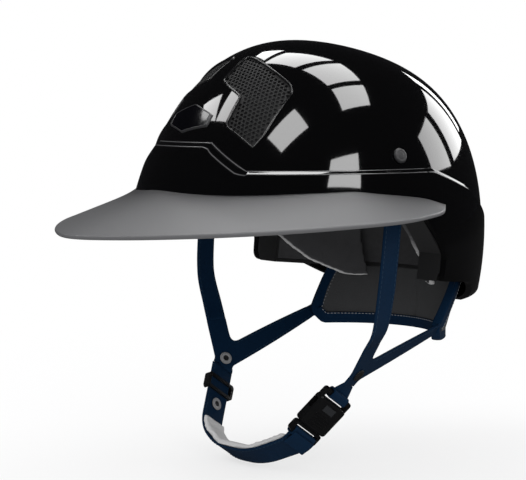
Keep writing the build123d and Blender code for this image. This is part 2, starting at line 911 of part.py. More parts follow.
def web_bridge(first_plane, first_width, second_plane, second_width):
    """Webbing that turns from one cross section to another."""
    with BuildPart() as body:
        with BuildSketch(first_plane):
            Rectangle(first_width, web_thickness)
        with BuildSketch(second_plane):
            Rectangle(second_width, web_thickness)
        loft(ruled=True)
    return body.part


def across_web(plane, point, towards):
    """The plane of a web's end face, with X across the web and Y through its thickness."""
    along = (towards - point).normalized()
    return Plane(origin=point, x_dir=plane.z_dir.cross(along), z_dir=along)


left_limb = Vector(limb_x, limb_y, limb_z)
left_rear = Vector(rear_x, rear_y, rear_z)
left_middle = Vector(left_junction_x, left_junction_y, left_junction_z)
left_target = buckle_plane.from_local_coords((lug_top + web_loop - web_thickness / 2, 0, 0))
left_stem = left_target + buckle_plane.x_dir * stem_lead
left_plane = yoke_plane(left_limb, left_rear, left_stem)
right_limb = Vector(-limb_x, limb_y, limb_z)
right_rear = Vector(-rear_x, rear_y, rear_z)
right_middle = Vector(-right_junction_x, right_junction_y, right_junction_z)
right_target = run_plane.from_local_coords((-fit_gap, 0, 0))
right_stem = run_plane.from_local_coords((-right_stem_lead, 0, 0))
right_plane = yoke_plane(right_limb, right_rear, right_stem)


def snap_on(plane, middle):
    """The place of a snap on a Y, level with its webbing."""
    centre = plane.to_local_coords(middle)
    return Plane(origin=plane.from_local_coords((centre.X, centre.Y, 0)),
                 x_dir=plane.x_dir, z_dir=plane.z_dir)


left_snap_plane = snap_on(left_plane, left_middle)
right_snap_plane = snap_on(right_plane, right_middle)
ribbon_end = Plane(origin=(strap_bend_x, strap_y, strap_bend_z), x_dir=(0, 1, 0), z_dir=(0, 0, -1))
mirrored_end = Plane(origin=(-strap_bend_x, strap_y, strap_bend_z), x_dir=(0, 1, 0), z_dir=(0, 0, -1))
left_web = lane(web_thickness, web_width, strap_top_z)
left_stem_end = Plane(origin=left_target, x_dir=buckle_plane.y_dir, z_dir=-buckle_plane.x_dir)
right_stem_end = Plane(origin=right_target, x_dir=run_plane.y_dir, z_dir=run_plane.x_dir)

with BuildPart() as yoke_left:
    add(flat_y(left_plane, (left_limb, left_rear, left_stem), left_middle))
    add(left_web)
    add(web_bridge(ribbon_end, web_width, across_web(left_plane, left_limb, left_middle), web_width))
    add(web_bridge(across_web(left_plane, left_stem, left_stem - left_middle + left_stem), web_width,
                   left_stem_end, web_width))
    add(web_ring(lug_top, lug_top - buckle_bar, web_width))
    add(snap_hole(left_snap_plane), mode=Mode.SUBTRACT)
    add(rivet_hole.part, mode=Mode.SUBTRACT)
yoke_left.part.label = "yoke_left"
export_step(yoke_left.part, "parts/yoke_left.step")

with BuildPart() as yoke_right:
    add(flat_y(right_plane, (right_limb, right_rear, right_stem), right_middle))
    add(mirror(left_web, about=Plane.YZ))
    add(web_bridge(mirrored_end, web_width, across_web(right_plane, right_limb, right_middle), web_width))
    add(web_bridge(across_web(right_plane, right_stem, right_stem - right_middle + right_stem), web_width,
                   right_stem_end, chin_width))
    add(snap_hole(right_snap_plane), mode=Mode.SUBTRACT)
    add(mirror(rivet_hole.part, about=Plane.YZ), mode=Mode.SUBTRACT)
yoke_right.part.label = "yoke_right"
export_step(yoke_right.part, "parts/yoke_right.step")

# Chin strap and the pad inside it
with BuildPart() as chin_strap:
    with BuildSketch(loop_plane):
        with BuildLine() as chin_path:
            FilletPolyline(*chin_points, radius=loop_bend)
        trace(chin_path.line, line_width=web_thickness)
    extrude(amount=chin_width / 2, both=True)
    add(web_ring(plug_bar_top, plug_bottom, chin_width))
    add(snap_hole(low_snap_plane), mode=Mode.SUBTRACT)
chin_strap.part.label = "chin_strap"
export_step(chin_strap.part, "parts/chin_strap.step")

chin_pad_reach = web_thickness + fit_gap + fit_gap
with BuildPart() as chin_pad:
    with BuildSketch(loop_plane):
        with BuildLine() as pad_path:
            FilletPolyline(*chin_points, radius=loop_bend)
        trace(pad_path.line, line_width=chin_pad_reach + chin_pad_thickness + chin_pad_thickness)
        with BuildLine():
            FilletPolyline(*chin_points, radius=loop_bend)
            Line(chin_end, chin_start)
        make_face(mode=Mode.INTERSECT)
        trace(pad_path.line, line_width=chin_pad_reach, mode=Mode.SUBTRACT)
        with Locations((0, -chin_pad_top_share * loop_drop)):
            Rectangle(reach_x, reach_x, align=(Align.CENTER, Align.MAX), mode=Mode.INTERSECT)
    extrude(amount=chin_width / 2, both=True)
chin_pad.part.label = "chin_pad"
export_step(chin_pad.part, "parts/chin_pad.step")

# Slider on the straight run of the chin strap: one bar outside, two inside, joined by two rails
slider_inner = web_thickness / 2 + slider_gap
slider_outer = slider_inner + slider_bar_height
slider_side = chin_width / 2 + slider_gap
slider_plane = Plane(origin=run_plane.from_local_coords((slider_place, 0, 0)),
                     x_dir=run_plane.x_dir, z_dir=run_plane.z_dir)
with BuildPart() as strap_slider:
    with BuildSketch(slider_plane.offset(-slider_outer)):
        RectangleRounded(slider_length, slider_side + slider_side + slider_rail + slider_rail, slider_rail)
    extrude(amount=slider_outer + slider_outer)
    with BuildSketch(slider_plane.offset(-slider_inner)):
        Rectangle(slider_length + slider_length, slider_side + slider_side)
    extrude(amount=slider_inner + slider_inner, mode=Mode.SUBTRACT)
    with BuildSketch(slider_plane.offset(slider_inner)):
        with Locations(((slider_length + slider_bar) / 2, 0), (-(slider_length + slider_bar) / 2, 0)):
            Rectangle(slider_length, slider_side + slider_side)
    extrude(amount=slider_outer, mode=Mode.SUBTRACT)
    with BuildSketch(slider_plane.offset(-slider_inner)):
        Rectangle(slider_length - slider_bar - slider_bar, slider_side + slider_side)
    extrude(amount=-slider_outer, mode=Mode.SUBTRACT)
strap_slider.part.label = "strap_slider"
export_step(strap_slider.part, "parts/strap_slider.step")

with BuildPart() as snap_studs:
    add(snap(left_snap_plane))
    add(snap(right_snap_plane))
    add(snap(low_snap_plane))
snap_studs.part.label = "snap_studs"
export_step(snap_studs.part, "parts/snap_studs.step")


# Buckle socket: a box with a cavity for the plug, two side windows and a bar for the webbing
def buckle_box(top, bottom, width, thickness):
    """A block of the buckle, centred on its axis."""
    with BuildPart() as block:
        with BuildSketch(buckle_plane):
            with Locations(((top + bottom) / 2, 0)):
                Rectangle(top - bottom, width)
        extrude(amount=thickness / 2, both=True)
    return block.part


slot_width = chin_width + plug_gap + plug_gap
with BuildPart() as buckle_socket:
    with BuildSketch(buckle_plane):
        with Locations(((socket_top + socket_mouth) / 2, 0)):
            RectangleRounded(socket_length, socket_width, socket_round)
    extrude(amount=socket_thickness / 2, both=True)
    fillet(buckle_socket.faces().sort_by(SortBy.AREA)[-2:].edges(), radius=socket_edge_round)
    with BuildSketch(buckle_plane):
        with Locations(((lug_top + socket_top - socket_round) / 2, 0)):
            RectangleRounded(lug_top - socket_top + socket_round, socket_width, socket_round)
    extrude(amount=buckle_lug_thickness / 2, both=True)
    add(buckle_box(socket_top + buckle_slot, socket_top, slot_width, socket_thickness), mode=Mode.SUBTRACT)
    add(buckle_box(socket_top - socket_back_wall, socket_mouth, cavity_width, cavity_thickness),
        mode=Mode.SUBTRACT)
    add(buckle_box(socket_top - socket_back_wall, socket_top - socket_back_wall - window_length,
                   socket_width, cavity_thickness), mode=Mode.SUBTRACT)
buckle_socket.part.label = "buckle_socket"
export_step(buckle_socket.part, "parts/buckle_socket.step")

# Buckle plug, and the two prongs that snap into the socket's windows
knuckle_x = plug_top - prong_knuckle_radius - plug_gap
with BuildPart() as buckle_plug:
    with BuildSketch(buckle_plane):
        with Locations(((plug_top + plug_bottom) / 2, 0)):
            RectangleRounded(plug_top - plug_bottom, socket_width, socket_round)
    extrude(amount=buckle_lug_thickness / 2, both=True)
    add(buckle_box(plug_slot_top, plug_bar_top, slot_width, socket_thickness), mode=Mode.SUBTRACT)
    add(buckle_box(tongue_end, plug_top, tongue_width, tongue_thickness))
    with BuildSketch(buckle_plane):
        with Locations((knuckle_x, prong_place), (knuckle_x, -prong_place)):
            Circle(prong_knuckle_radius + plug_gap)
        with Locations((plug_top, prong_place), (plug_top, -prong_place)):
            Rectangle(prong_knuckle_radius + plug_gap, prong_neck_width + plug_gap + plug_gap + plug_gap)
    extrude(amount=cavity_thickness / 2, both=True, mode=Mode.SUBTRACT)
buckle_plug.part.label = "buckle_plug"
export_step(buckle_plug.part, "parts/buckle_plug.step")

prong_shoulder = socket_top - socket_back_wall - window_length + prong_shoulder_gap
prong_outer = prong_place + prong_head_reach
with BuildPart() as buckle_prong_front:
    with BuildSketch(buckle_plane):
        with Locations((knuckle_x, prong_place)):
            Circle(prong_knuckle_radius)
        with BuildLine():
            Polyline(
                (knuckle_x, prong_place - prong_neck_width / 2),
                (socket_mouth, prong_place - prong_neck_width / 2),
                (socket_mouth, prong_place - prong_width / 2),
                (prong_shoulder + prong_head_length, prong_place - prong_width / 2),
                (prong_shoulder + prong_head_length, prong_place),
                (prong_shoulder + prong_head_length / 2, prong_outer),
                (prong_shoulder, prong_outer),
                (prong_shoulder, prong_place + prong_width / 2),
                (socket_mouth, prong_place + prong_width / 2),
                (socket_mouth, prong_place + prong_neck_width / 2),
                (knuckle_x, prong_place + prong_neck_width / 2),
                close=True,
            )
        make_face()
    extrude(amount=tongue_thickness / 2, both=True)
buckle_prong_front.part.label = "buckle_prong_front"
export_step(buckle_prong_front.part, "parts/buckle_prong_front.step")

with BuildPart() as buckle_prong_rear:
    mirror(buckle_prong_front.part, about=Plane(buckle_plane.origin, x_dir=buckle_plane.x_dir,
                                                z_dir=buckle_plane.y_dir))
buckle_prong_rear.part.label = "buckle_prong_rear"
export_step(buckle_prong_rear.part, "parts/buckle_prong_rear.step")
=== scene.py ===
import math

import bmesh
import bpy
import numpy as np
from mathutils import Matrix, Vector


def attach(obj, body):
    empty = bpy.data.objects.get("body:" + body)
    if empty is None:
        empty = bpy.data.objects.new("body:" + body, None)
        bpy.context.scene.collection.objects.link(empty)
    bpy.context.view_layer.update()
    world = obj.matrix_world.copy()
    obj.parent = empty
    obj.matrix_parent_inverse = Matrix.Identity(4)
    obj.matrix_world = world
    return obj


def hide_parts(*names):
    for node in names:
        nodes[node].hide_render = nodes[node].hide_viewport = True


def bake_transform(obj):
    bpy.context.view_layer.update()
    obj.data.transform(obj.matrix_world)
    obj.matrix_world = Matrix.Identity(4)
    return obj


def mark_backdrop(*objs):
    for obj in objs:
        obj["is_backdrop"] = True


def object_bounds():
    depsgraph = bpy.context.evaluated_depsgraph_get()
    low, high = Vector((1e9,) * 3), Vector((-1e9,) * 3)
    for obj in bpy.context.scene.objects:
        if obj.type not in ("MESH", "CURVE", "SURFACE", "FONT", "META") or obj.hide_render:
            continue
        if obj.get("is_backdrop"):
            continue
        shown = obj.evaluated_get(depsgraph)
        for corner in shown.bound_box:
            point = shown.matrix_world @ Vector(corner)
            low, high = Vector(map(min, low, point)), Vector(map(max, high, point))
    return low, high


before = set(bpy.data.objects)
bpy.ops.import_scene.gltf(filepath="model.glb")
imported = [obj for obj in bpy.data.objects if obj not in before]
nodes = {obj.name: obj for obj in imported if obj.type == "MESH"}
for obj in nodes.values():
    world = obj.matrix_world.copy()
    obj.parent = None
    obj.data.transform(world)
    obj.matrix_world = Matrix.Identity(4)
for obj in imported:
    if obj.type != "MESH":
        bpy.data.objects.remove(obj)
scene = bpy.context.scene
MM = 0.001
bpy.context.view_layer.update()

# Driving sizes, in millimetres
SHELL = np.array((112.0, 142.0, 153.5))
SHELL_THICK = 3.0
LEAN = math.radians(14.8)
PLAN_POWER, RISE_POWER = 2.74, 2.03
CURL = 25.0
BAND_STEP, LEDGE_ROUND = 2.4, 0.16
WEB_WIDE, CHIN_WIDE, WEB_THICK = 16.0, 22.0, 1.6
CREASE_BY_X, CREASE_BY_Y = ((31, 59), (84, 65)), ((28, 71, 130), (65, 51, 18))
LEDGE_RUN, LEDGE_RUN_BY_X = 3.2, ((27, 34, 54, 61), (4.4, 6.4, 6.4, 3.2))
SHELL_FOOT = math.radians(-42)
VENT_SIZE, VENT_CORNER = (56.4, 87.0), 2.6
VENT_SHARES = [(-0.424, 0.151), (-0.278, 0.414), (-0.222, 0.470), (-0.064, 0.416), (0.528, 0.115),
               (0.576, 0.034), (0.353, -0.405), (0.238, -0.530), (-0.174, -0.349), (-0.179, -0.295),
               (-0.083, -0.060), (-0.268, 0.039)]
MESH_PITCH, MESH_HOLE, MESH_SUNK, MESH_THICK = 3.3, 1.14, 1.0, 0.9
BADGE_WIDE, BADGE_HIGH, BADGE_PROUD = 43.5, 24.0, 1.5
BADGE_CORNER_SHARE, BADGE_FACE_SHARE = 0.41, 0.94
BRIM_HALF, BRIM_FRONT, BRIM_END_HALF = 148.0, -210.0, 108.0
COLLAR_HALF, COLLAR_FRONT, COLLAR_END_HALF = 100.0, -127.0, 72.0
BRIM_SIDE_Y, BRIM_END_Y, BRIM_Z, COLLAR_Z = -36.0, 38.0, 36.4, 52.0
BRIM_SLOPE, COLLAR_SLOPE = math.tan(math.radians(3.6)), math.tan(math.radians(0.7))
BRIM_THICK, BRIM_EDGE = 3.2, 1.35
NAPE_TOP, NAPE_LOW, NAPE_Y = (95.0, 90.0, -20.3), (76.0, 84.0, -67.0), 30.0
NAPE_THICK, EDGING_WIDE = 5.0, 9.0


def vec(*values):
    return np.array(values, float)


FLIP = vec(-1, 1, 1)
SIDES = (("left", vec(1, 1, 1)), ("right", FLIP))


def unit(v):
    v = np.asarray(v, float)
    return v / np.maximum(np.linalg.norm(v, axis=-1, keepdims=True), 1e-9)


# Materials
class Wire:
    """An output socket. Arithmetic on it adds Math nodes."""

    def __init__(self, home, socket):
        self.home = home
        self.socket = socket

    def maths(self, operation, *others):
        return self.home.add("ShaderNodeMath", {"operation": operation}, dict(enumerate((self, *others))))

    def __add__(self, other):
        return self.maths("ADD", other)

    def __sub__(self, other):
        return self.maths("SUBTRACT", other)

    def __rsub__(self, other):
        return self.home.add("ShaderNodeMath", {"operation": "SUBTRACT"}, {0: other, 1: self})

    def __mul__(self, other):
        return self.maths("MULTIPLY", other)

    __radd__ = __add__
    __rmul__ = __mul__

    def sine(self):
        return self.maths("SINE")

    def within(self, low, high):
        return self.maths("MAXIMUM", low).maths("MINIMUM", high)


class Nodes:
    """The node tree of a material or of the world."""

    def __init__(self, owner):
        owner.use_nodes = True
        self.owner = owner
        self.tree = owner.node_tree

    def add(self, kind, settings=None, sockets=None, out=0):
        """A node of any kind, with its settings and its input sockets, as the Wire of one output."""
        made = self.tree.nodes.new(kind)
        for key, value in (settings or {}).items():
            setattr(made, key, value)
        for key, value in (sockets or {}).items():
            if isinstance(value, Wire):
                self.tree.links.new(value.socket, made.inputs[key])
            else:
                made.inputs[key].default_value = value
        return Wire(self, made.outputs[out]) if made.outputs else None

    def axis(self, wire, letter):
        """One of the three numbers of a vector."""
        return self.add("ShaderNodeSeparateXYZ", sockets={0: wire}, out=letter)

    def blend(self, share, first, second):
        """Two shaders mixed."""
        return self.add("ShaderNodeMixShader", sockets={0: share, 1: first, 2: second})


# The sockets of a Mix node that mixes colours, and how far noise spreads a roughness
MIX_SHARE, MIX_LOW, MIX_HIGH, MIX_COLOUR = 0, 6, 7, 2
ROUGH_SPREAD = 0.1
# Depths of bumps in metres
FINE_BUMP, CLOTH_BUMP = 0.0003, 0.0006


class Finish(Nodes):
    """A material built on one Principled shader."""

    def __init__(self, name, colour, **sockets):
        super().__init__(bpy.data.materials.new(name))
        self.shader = self.tree.nodes["Principled BSDF"]
        self.shader.inputs["Base Color"].default_value = (*colour, 1)
        for socket, value in sockets.items():
            self.shader.inputs[socket.replace("_", " ")].default_value = value

    def painted(self, name):
        """A value that was worked out for each point of the mesh."""
        return self.add("ShaderNodeAttribute", {"attribute_name": name}, out="Fac")

    def drive(self, socket, wire):
        self.tree.links.new(wire.socket, self.shader.inputs[socket])

    def noise(self, scale, detail=2.0):
        spot = self.add("ShaderNodeTexCoord", out="Object")
        return self.add("ShaderNodeTexNoise", sockets={"Vector": spot, "Scale": scale, "Detail": detail})

    def vary(self, wire, low, high):
        """Base colour between two colours."""
        ends = {MIX_SHARE: wire, MIX_LOW: (*low, 1), MIX_HIGH: (*high, 1)}
        self.drive("Base Color", self.add("ShaderNodeMix", {"data_type": "RGBA"}, ends, out=MIX_COLOUR))

    def speckle(self, fine, roughness):
        """Roughness that noise moves a little either way."""
        self.drive("Roughness", fine * ROUGH_SPREAD + (roughness - ROUGH_SPREAD / 2))

    def bump(self, height, strength, distance):
        """The material, with its bump."""
        sockets = {"Height": height, "Strength": strength, "Distance": distance}
        self.drive("Normal", self.add("ShaderNodeBump", sockets=sockets))
        return self.owner


CLOTH_ROUGH, CLOTH_DETAIL = 0.85, 3.0


def fabric(name, low, high, grain, strength):
    made = Finish(name, low, Roughness=CLOTH_ROUGH)
    fine = made.noise(grain, CLOTH_DETAIL)
    made.vary(fine, low, high)
    return made.bump(fine, strength, CLOTH_BUMP)


# Radians a millimetre, across a strap and along it
WEAVE_ACROSS, WEAVE_ALONG = 5.2, 4.4


def webbing(name, low, high):
    """A narrow weave: rows across the strap and a rib along it, worked from the strap's own millimetres."""
    made = Finish(name, low, Roughness=CLOTH_ROUGH, Specular_IOR_Level=0.12)
    place = made.add("ShaderNodeTexCoord", out="UV")
    rows = (made.axis(place, "X") * WEAVE_ACROSS).sine() * (made.axis(place, "Y") * WEAVE_ALONG).sine()
    made.vary((rows * 0.35 + made.noise(600.0) * 0.8).within(0.0, 1.0), low, high)
    return made.bump(rows * 0.5 + 0.5, 0.45, FINE_BUMP)


SHELL_BLACK, LEDGE_HIGHLIGHT_GREY = (0.0018, 0.0018, 0.002), (0.075, 0.075, 0.078)


def shell_finish():
    """Gloss black, with painted highlights: greyer and duller in thin lines along the edges of the ledge."""
    made = Finish("gloss_black_shell", SHELL_BLACK, Roughness=0.045, IOR=1.52)
    edge = made.painted("ledge_highlight")
    made.drive("Roughness", edge * 0.35 + made.noise(900.0) * 0.02 + 0.035)
    made.vary(edge, SHELL_BLACK, LEDGE_HIGHLIGHT_GREY)
    return made.owner


def satin(name, colour, roughness, grain, strength, **sockets):
    made = Finish(name, colour, Roughness=roughness, **sockets)
    fine = made.noise(grain)
    made.speckle(fine, roughness)
    return made.bump(fine, strength, FINE_BUMP)


BRIM_GREY, BRIM_SHADE_GREY = (0.106, 0.107, 0.111), (0.03, 0.03, 0.032)


def brim_finish():
    """Satin grey, with painted shade that darkens it in the hollow beside the shell."""
    made = Finish("satin_grey_brim", BRIM_GREY, Roughness=0.5)
    fine = made.noise(1500.0)
    made.vary(made.painted("shade_beside_shell"), BRIM_GREY, BRIM_SHADE_GREY)
    made.speckle(fine, 0.5)
    return made.bump(fine, 0.06, FINE_BUMP)


LINING_DARK, LINING_LIT_UNDERSIDE = (0.04, 0.04, 0.043), (0.42, 0.42, 0.42)
# In metres: where the painted light on the pads' underside starts, behind the ear
LIT_UNDERSIDE_FROM = 0.028


def side_lining():
    """Dark lining cloth with painted light: it turns pale on the underside behind the ear, where the pad
    faces down.
    """
    made = Finish("side_lining_cloth", LINING_DARK, Roughness=CLOTH_ROUGH)
    under = made.axis(made.add("ShaderNodeNewGeometry", out="Normal"), "Z") * -1.0
    fine = made.noise(1400.0, CLOTH_DETAIL)
    rear = (made.axis(made.add("ShaderNodeTexCoord", out="Object"), "Y") - LIT_UNDERSIDE_FROM) * 60.0
    # Painted light: faces that point down, behind the ear, turn pale.
    pale = ((under - 0.25) * 3.0).within(0.0, 1.0) * rear.within(0.0, 1.0) * (fine * 0.3 + 0.7)
    made.vary(pale, LINING_DARK, LINING_LIT_UNDERSIDE)
    return made.bump(fine, 0.35, CLOTH_BUMP)


FINISH = {
    "shell": shell_finish(),
    "visor": brim_finish(),
    "vent_mesh": satin("black_vent_mesh", (0.01, 0.01, 0.0105), 0.6, 900.0, 0.05, Specular_IOR_Level=0.3),
    "vent_frame": satin("gloss_vent_frame", (0.006, 0.006, 0.0065), 0.16, 700.0, 0.02),
    "badge": satin("gloss_badge", (0.0012, 0.0012, 0.002), 0.1, 700.0, 0.02, Specular_IOR_Level=0.35),
    "badge_rim": satin("badge_rim", (0.03, 0.03, 0.032), 0.3, 700.0, 0.02),
    "rivet": satin("black_rivet", (0.024, 0.024, 0.026), 0.5, 900.0, 0.05),
    "metal": satin("steel_washer", (0.55, 0.55, 0.56), 0.35, 900.0, 0.05, Metallic=1.0),
    "foam": fabric("foam_beads", (0.026, 0.026, 0.028), (0.042, 0.042, 0.045), 260.0, 0.4),
    "trim": satin("rubber_trim", (0.012, 0.012, 0.013), 0.6, 500.0, 0.1),
    "webbing": webbing("navy_webbing", (0.0005, 0.0095, 0.028), (0.001, 0.0165, 0.046)),
    "lining": fabric("lining_cloth", (0.034, 0.035, 0.037), (0.056, 0.057, 0.06), 1400.0, 0.35),
    "side_lining": side_lining(),
    "chin_fabric": fabric("pale_pad_cloth", (0.46, 0.46, 0.46), (0.58, 0.58, 0.58), 1300.0, 0.3),
    "buckle": satin("moulded_buckle", (0.0045, 0.0045, 0.005), 0.3, 1600.0, 0.1),
    "snap": satin("dark_snap", (0.012, 0.012, 0.013), 0.45, 700.0, 0.03),
    "snap_rim": satin("pale_snap_rim", (0.2, 0.2, 0.205), 0.45, 700.0, 0.03),
    "thread": fabric("navy_thread", (0.003, 0.022, 0.05), (0.006, 0.034, 0.072), 1500.0, 0.2),
    "pale_thread": fabric("silver_thread", (0.16, 0.17, 0.18), (0.32, 0.33, 0.35), 1500.0, 0.2),
    "buckle_lens": satin("clear_lens", (0.02, 0.021, 0.023), 0.12, 500.0, 0.0),
}


# Mesh helpers
def placed(name, data):
    """An object in the scene."""
    obj = bpy.data.objects.new(name, data)
    scene.collection.objects.link(obj)
    return obj


def built(name, points, faces):
    """A mesh object from points in millimetres."""
    data = bpy.data.meshes.new(name)
    corners = [tuple(p) for p in np.asarray(points, float) * MM]
    data.from_pydata(corners, [], [tuple(int(i) for i in face) for face in faces])
    data.update()
    return placed(name, data)


def values_of(items, name, width=1, kind=float):
    """One value of each point, corner or face of a mesh."""
    found = np.empty(len(items) * width, dtype=kind)
    items.foreach_get(name, found)
    return found.reshape(-1, width) if width > 1 else found


def shade_smooth(data, smooth=True):
    data.polygons.foreach_set("use_smooth", [smooth] * len(data.polygons))


def piece(name, points, faces, finish, body="helmet", stands_for=(), uv=None, smooth=True):
    """A mesh object, dressed, and carried by a body."""
    obj = built(name, points, faces)
    if uv is not None:
        layer = obj.data.uv_layers.new(name="web")
        corners = values_of(obj.data.loops, "vertex_index", kind=np.int32)
        layer.data.foreach_set("uv", np.asarray(uv, float)[corners].ravel())
    return dress(obj, finish, body, stands_for, smooth)


def dress(obj, finish, body="helmet", stands_for=(), smooth=True):
    obj.data.materials.clear()
    obj.data.materials.append(FINISH[finish])
    if smooth:
        shade_smooth(obj.data)
    if body:
        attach(obj, body)
    if stands_for:
        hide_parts(*stands_for)
    return obj


def grid_faces(rows, columns, close_rows=False, close_columns=False, start=0):
    last_row = rows if close_rows else rows - 1
    last_column = columns if close_columns else columns - 1
    return [(start + r * columns + c, start + r * columns + (c + 1) % columns,
             start + ((r + 1) % rows) * columns + (c + 1) % columns, start + ((r + 1) % rows) * columns + c)
            for r in range(last_row) for c in range(last_column)]


def fix_normals(obj):
    work = bmesh.new()
    work.from_mesh(obj.data)
    bmesh.ops.recalc_face_normals(work, faces=work.faces)
    work.to_mesh(obj.data)
    work.free()
    return obj


def soften(obj, width, segments=2, angle=35.0):
    """Rounds the hard edges of a moulded piece."""
    made = obj.modifiers.new("edge_round", "BEVEL")
    made.width, made.segments, made.limit_method = width * MM, segments, "ANGLE"
    made.angle_limit = math.radians(angle)
    made.harden_normals = True
    return obj


def curve_through(points, count, closed=False):
    """Evenly spaced points on a smooth curve through the given ones."""
    p = np.asarray(points, float)
    n = len(p)
    pad = np.vstack([p[-1], p, p[0], p[1]]) if closed else np.vstack([2 * p[0] - p[1], p, 2 * p[-1] - p[-2]])
    out = []
    for i in range(n if closed else n - 1):
        a, b, c, d = pad[i], pad[i + 1], pad[i + 2], pad[i + 3]
        ta, tb, tc = (max(np.linalg.norm(v), 1e-6) ** 0.5 for v in (b - a, c - b, d - c))
        mb = (c - b) - (c - a) * tb / (ta + tb) + (b - a) * tb / ta if ta > 1e-3 else c - b
        mc = (c - b) - (d - b) * tb / (tb + tc) + (d - c) * tb / tc if tc > 1e-3 else c - b
        t = np.linspace(0, 1, 24, endpoint=False)[:, None]
        out.append((2 * t ** 3 - 3 * t ** 2 + 1) * b + (t ** 3 - 2 * t ** 2 + t) * mb
                   + (3 * t ** 2 - 2 * t ** 3) * c + (t ** 3 - t ** 2) * mc)
    out.append(p[:1] if closed else p[-1:])
    return spaced(np.vstack(out), count, closed)


def spaced(line, count, closed=False):
    steps = np.linalg.norm(np.diff(line, axis=0), axis=1)
    run = np.concatenate([[0], np.cumsum(steps)])
    at = np.linspace(0, run[-1], count + 1 if closed else count)
    made = np.stack([np.interp(at, run, line[:, k]) for k in range(line.shape[1])], 1)
    return made[:-1] if closed else made


def rounded(points, radius, closed=False, steps=6):
    """A line with its corners rounded."""
    p = np.asarray(points, float)
    n = len(p)
    out = [] if closed else [p[0]]
    for i in range(n) if closed else range(1, n - 1):
        before, at, after = p[i - 1], p[i], p[(i + 1) % n]
        room = min(radius, 0.45 * np.linalg.norm(before - at), 0.45 * np.linalg.norm(after - at))
        a, b = at + unit(before - at) * room, at + unit(after - at) * room
        for t in np.linspace(0, 1, steps):
            out.append((1 - t) ** 2 * a + 2 * t * (1 - t) * at + t * t * b)
    if not closed:
        out.append(p[-1])
    return np.array(out)


def tangents(line, closed=False):
    if closed:
        return unit(np.roll(line, -1, 0) - np.roll(line, 1, 0))
    return unit(np.gradient(line, axis=0))


# Half of a webbing's section: its round edge and its raised selvedges, as shares of width and half thickness
WEB_EDGE_SHARES = [(0.5 - 0.55 / WEB_WIDE, 1.0), (0.5 - 0.15 / WEB_WIDE, 0.62), (0.5, 0.0),
                   (0.5 - 0.15 / WEB_WIDE, -0.62), (0.5 - 0.55 / WEB_WIDE, -1.0)]
SELVEDGE_SHARE, FLAT_SHARE = 0.43, 0.37


def ribbon(name, line, across, wide, finish, body="helmet", stands_for=(), thick=WEB_THICK, closed=False,
           selvedge=0.12):
    """Flat webbing along a line: rounded edges, a faint raised edge on each side, and millimetres as UV."""
    line, across = np.asarray(line, float), np.broadcast_to(np.asarray(across, float), (len(line), 3))
    wide = np.broadcast_to(wide, (len(line),))
    run = tangents(line, closed)
    across = unit(across - run * np.sum(across * run, 1, keepdims=True))
    out = np.cross(run, across)
    h = thick / 2
    side = [(x, y * h) for x, y in WEB_EDGE_SHARES]
    ridge = [(SELVEDGE_SHARE, -h - selvedge), (FLAT_SHARE, -h), (0.0, -h), (-FLAT_SHARE, -h),
             (-SELVEDGE_SHARE, -h - selvedge)]
    shape = side + ridge + [(-x, -y) for x, y in side] + [(-x, -y) for x, y in ridge]
    rows = np.array([[line[i] + across[i] * x * wide[i] + out[i] * y for x, y in shape]
                     for i in range(len(line))])
    k = len(shape)
    run_mm = np.concatenate([[0], np.cumsum(np.linalg.norm(np.diff(line, axis=0), axis=1))])
    uv = np.array([[(x * wide[i], run_mm[i]) for x, y in shape] for i in range(len(line))]).reshape(-1, 2)
    faces = grid_faces(len(line), k, close_rows=closed, close_columns=True)
    if not closed:
        faces += end_faces(len(line), k)
    made = piece(name, rows.reshape(-1, 3), faces, finish, body, stands_for, uv)
    return fix_normals(made), line, across, out


def end_faces(rows, columns):
    """The two caps of an open tube of points."""
    last = (rows - 1) * columns
    return [tuple(range(columns)), tuple(reversed(range(last, last + columns)))]


# A stitch's section as shares of its thread, and how far its middle stands up and its ends sink
THREAD_SHARES = ((1, 0), (0.6, 0.6), (-0.6, 0.6), (-1, 0))
STITCH_UP, STITCH_SUNK = 0.16, -0.12


def stitch_rows(name, lines, finish="thread", body="helmet", stitch=2.3, gap=1.2, thread=0.42, lift=0.1):
    """Short raised stitches along lines; each line comes with the way out of the cloth."""
    points, faces = [], []
    for line, out in lines:
        steps = np.linalg.norm(np.diff(line, axis=0), axis=1)
        run = np.concatenate([[0], np.cumsum(steps)])
        for a in np.arange(gap, run[-1] - stitch, stitch + gap):
            ends = [np.array([np.interp(s, run, line[:, k]) for k in range(3)]) for s in (a, a + stitch)]
            up = unit(np.array([np.interp(a + stitch / 2, run, out[:, k]) for k in range(3)]))
            along = unit(ends[1] - ends[0])
            wide = np.cross(along, up)
            start = len(points)
            for t in (0.0, 0.5, 1.0):
                height = lift + (STITCH_UP if t == 0.5 else STITCH_SUNK)
                middle = ends[0] * (1 - t) + ends[1] * t + up * height
                points += [middle + wide * x * thread / 2 + up * y * thread / 2 for x, y in THREAD_SHARES]
            faces += grid_faces(3, len(THREAD_SHARES), start=start)
    return piece(name, points, faces, finish, body)


# The radius at which a turned profile starts where the piece has no hole, and a way that no axis takes
AXIS, ASKEW = 0.01, vec(0.3, 0.5, 0.81)


def lathe(name, profile, centre, axis, finish, around=40):
    """A turned piece: its profile is (radius, height) along the axis."""
    axis = unit(axis)
    x = unit(np.cross(axis, ASKEW))
    y = np.cross(axis, x)
    points = [centre + x * r * math.cos(a) + y * r * math.sin(a) + axis * h
              for r, h in profile for a in np.linspace(0, 2 * math.pi, around, endpoint=False)]
    hollow = profile[0][0] > AXIS
    faces = grid_faces(len(profile), around, close_rows=hollow, close_columns=True)
    if not hollow:
        faces += end_faces(len(profile), around)
    return fix_normals(piece(name, points, faces, finish))


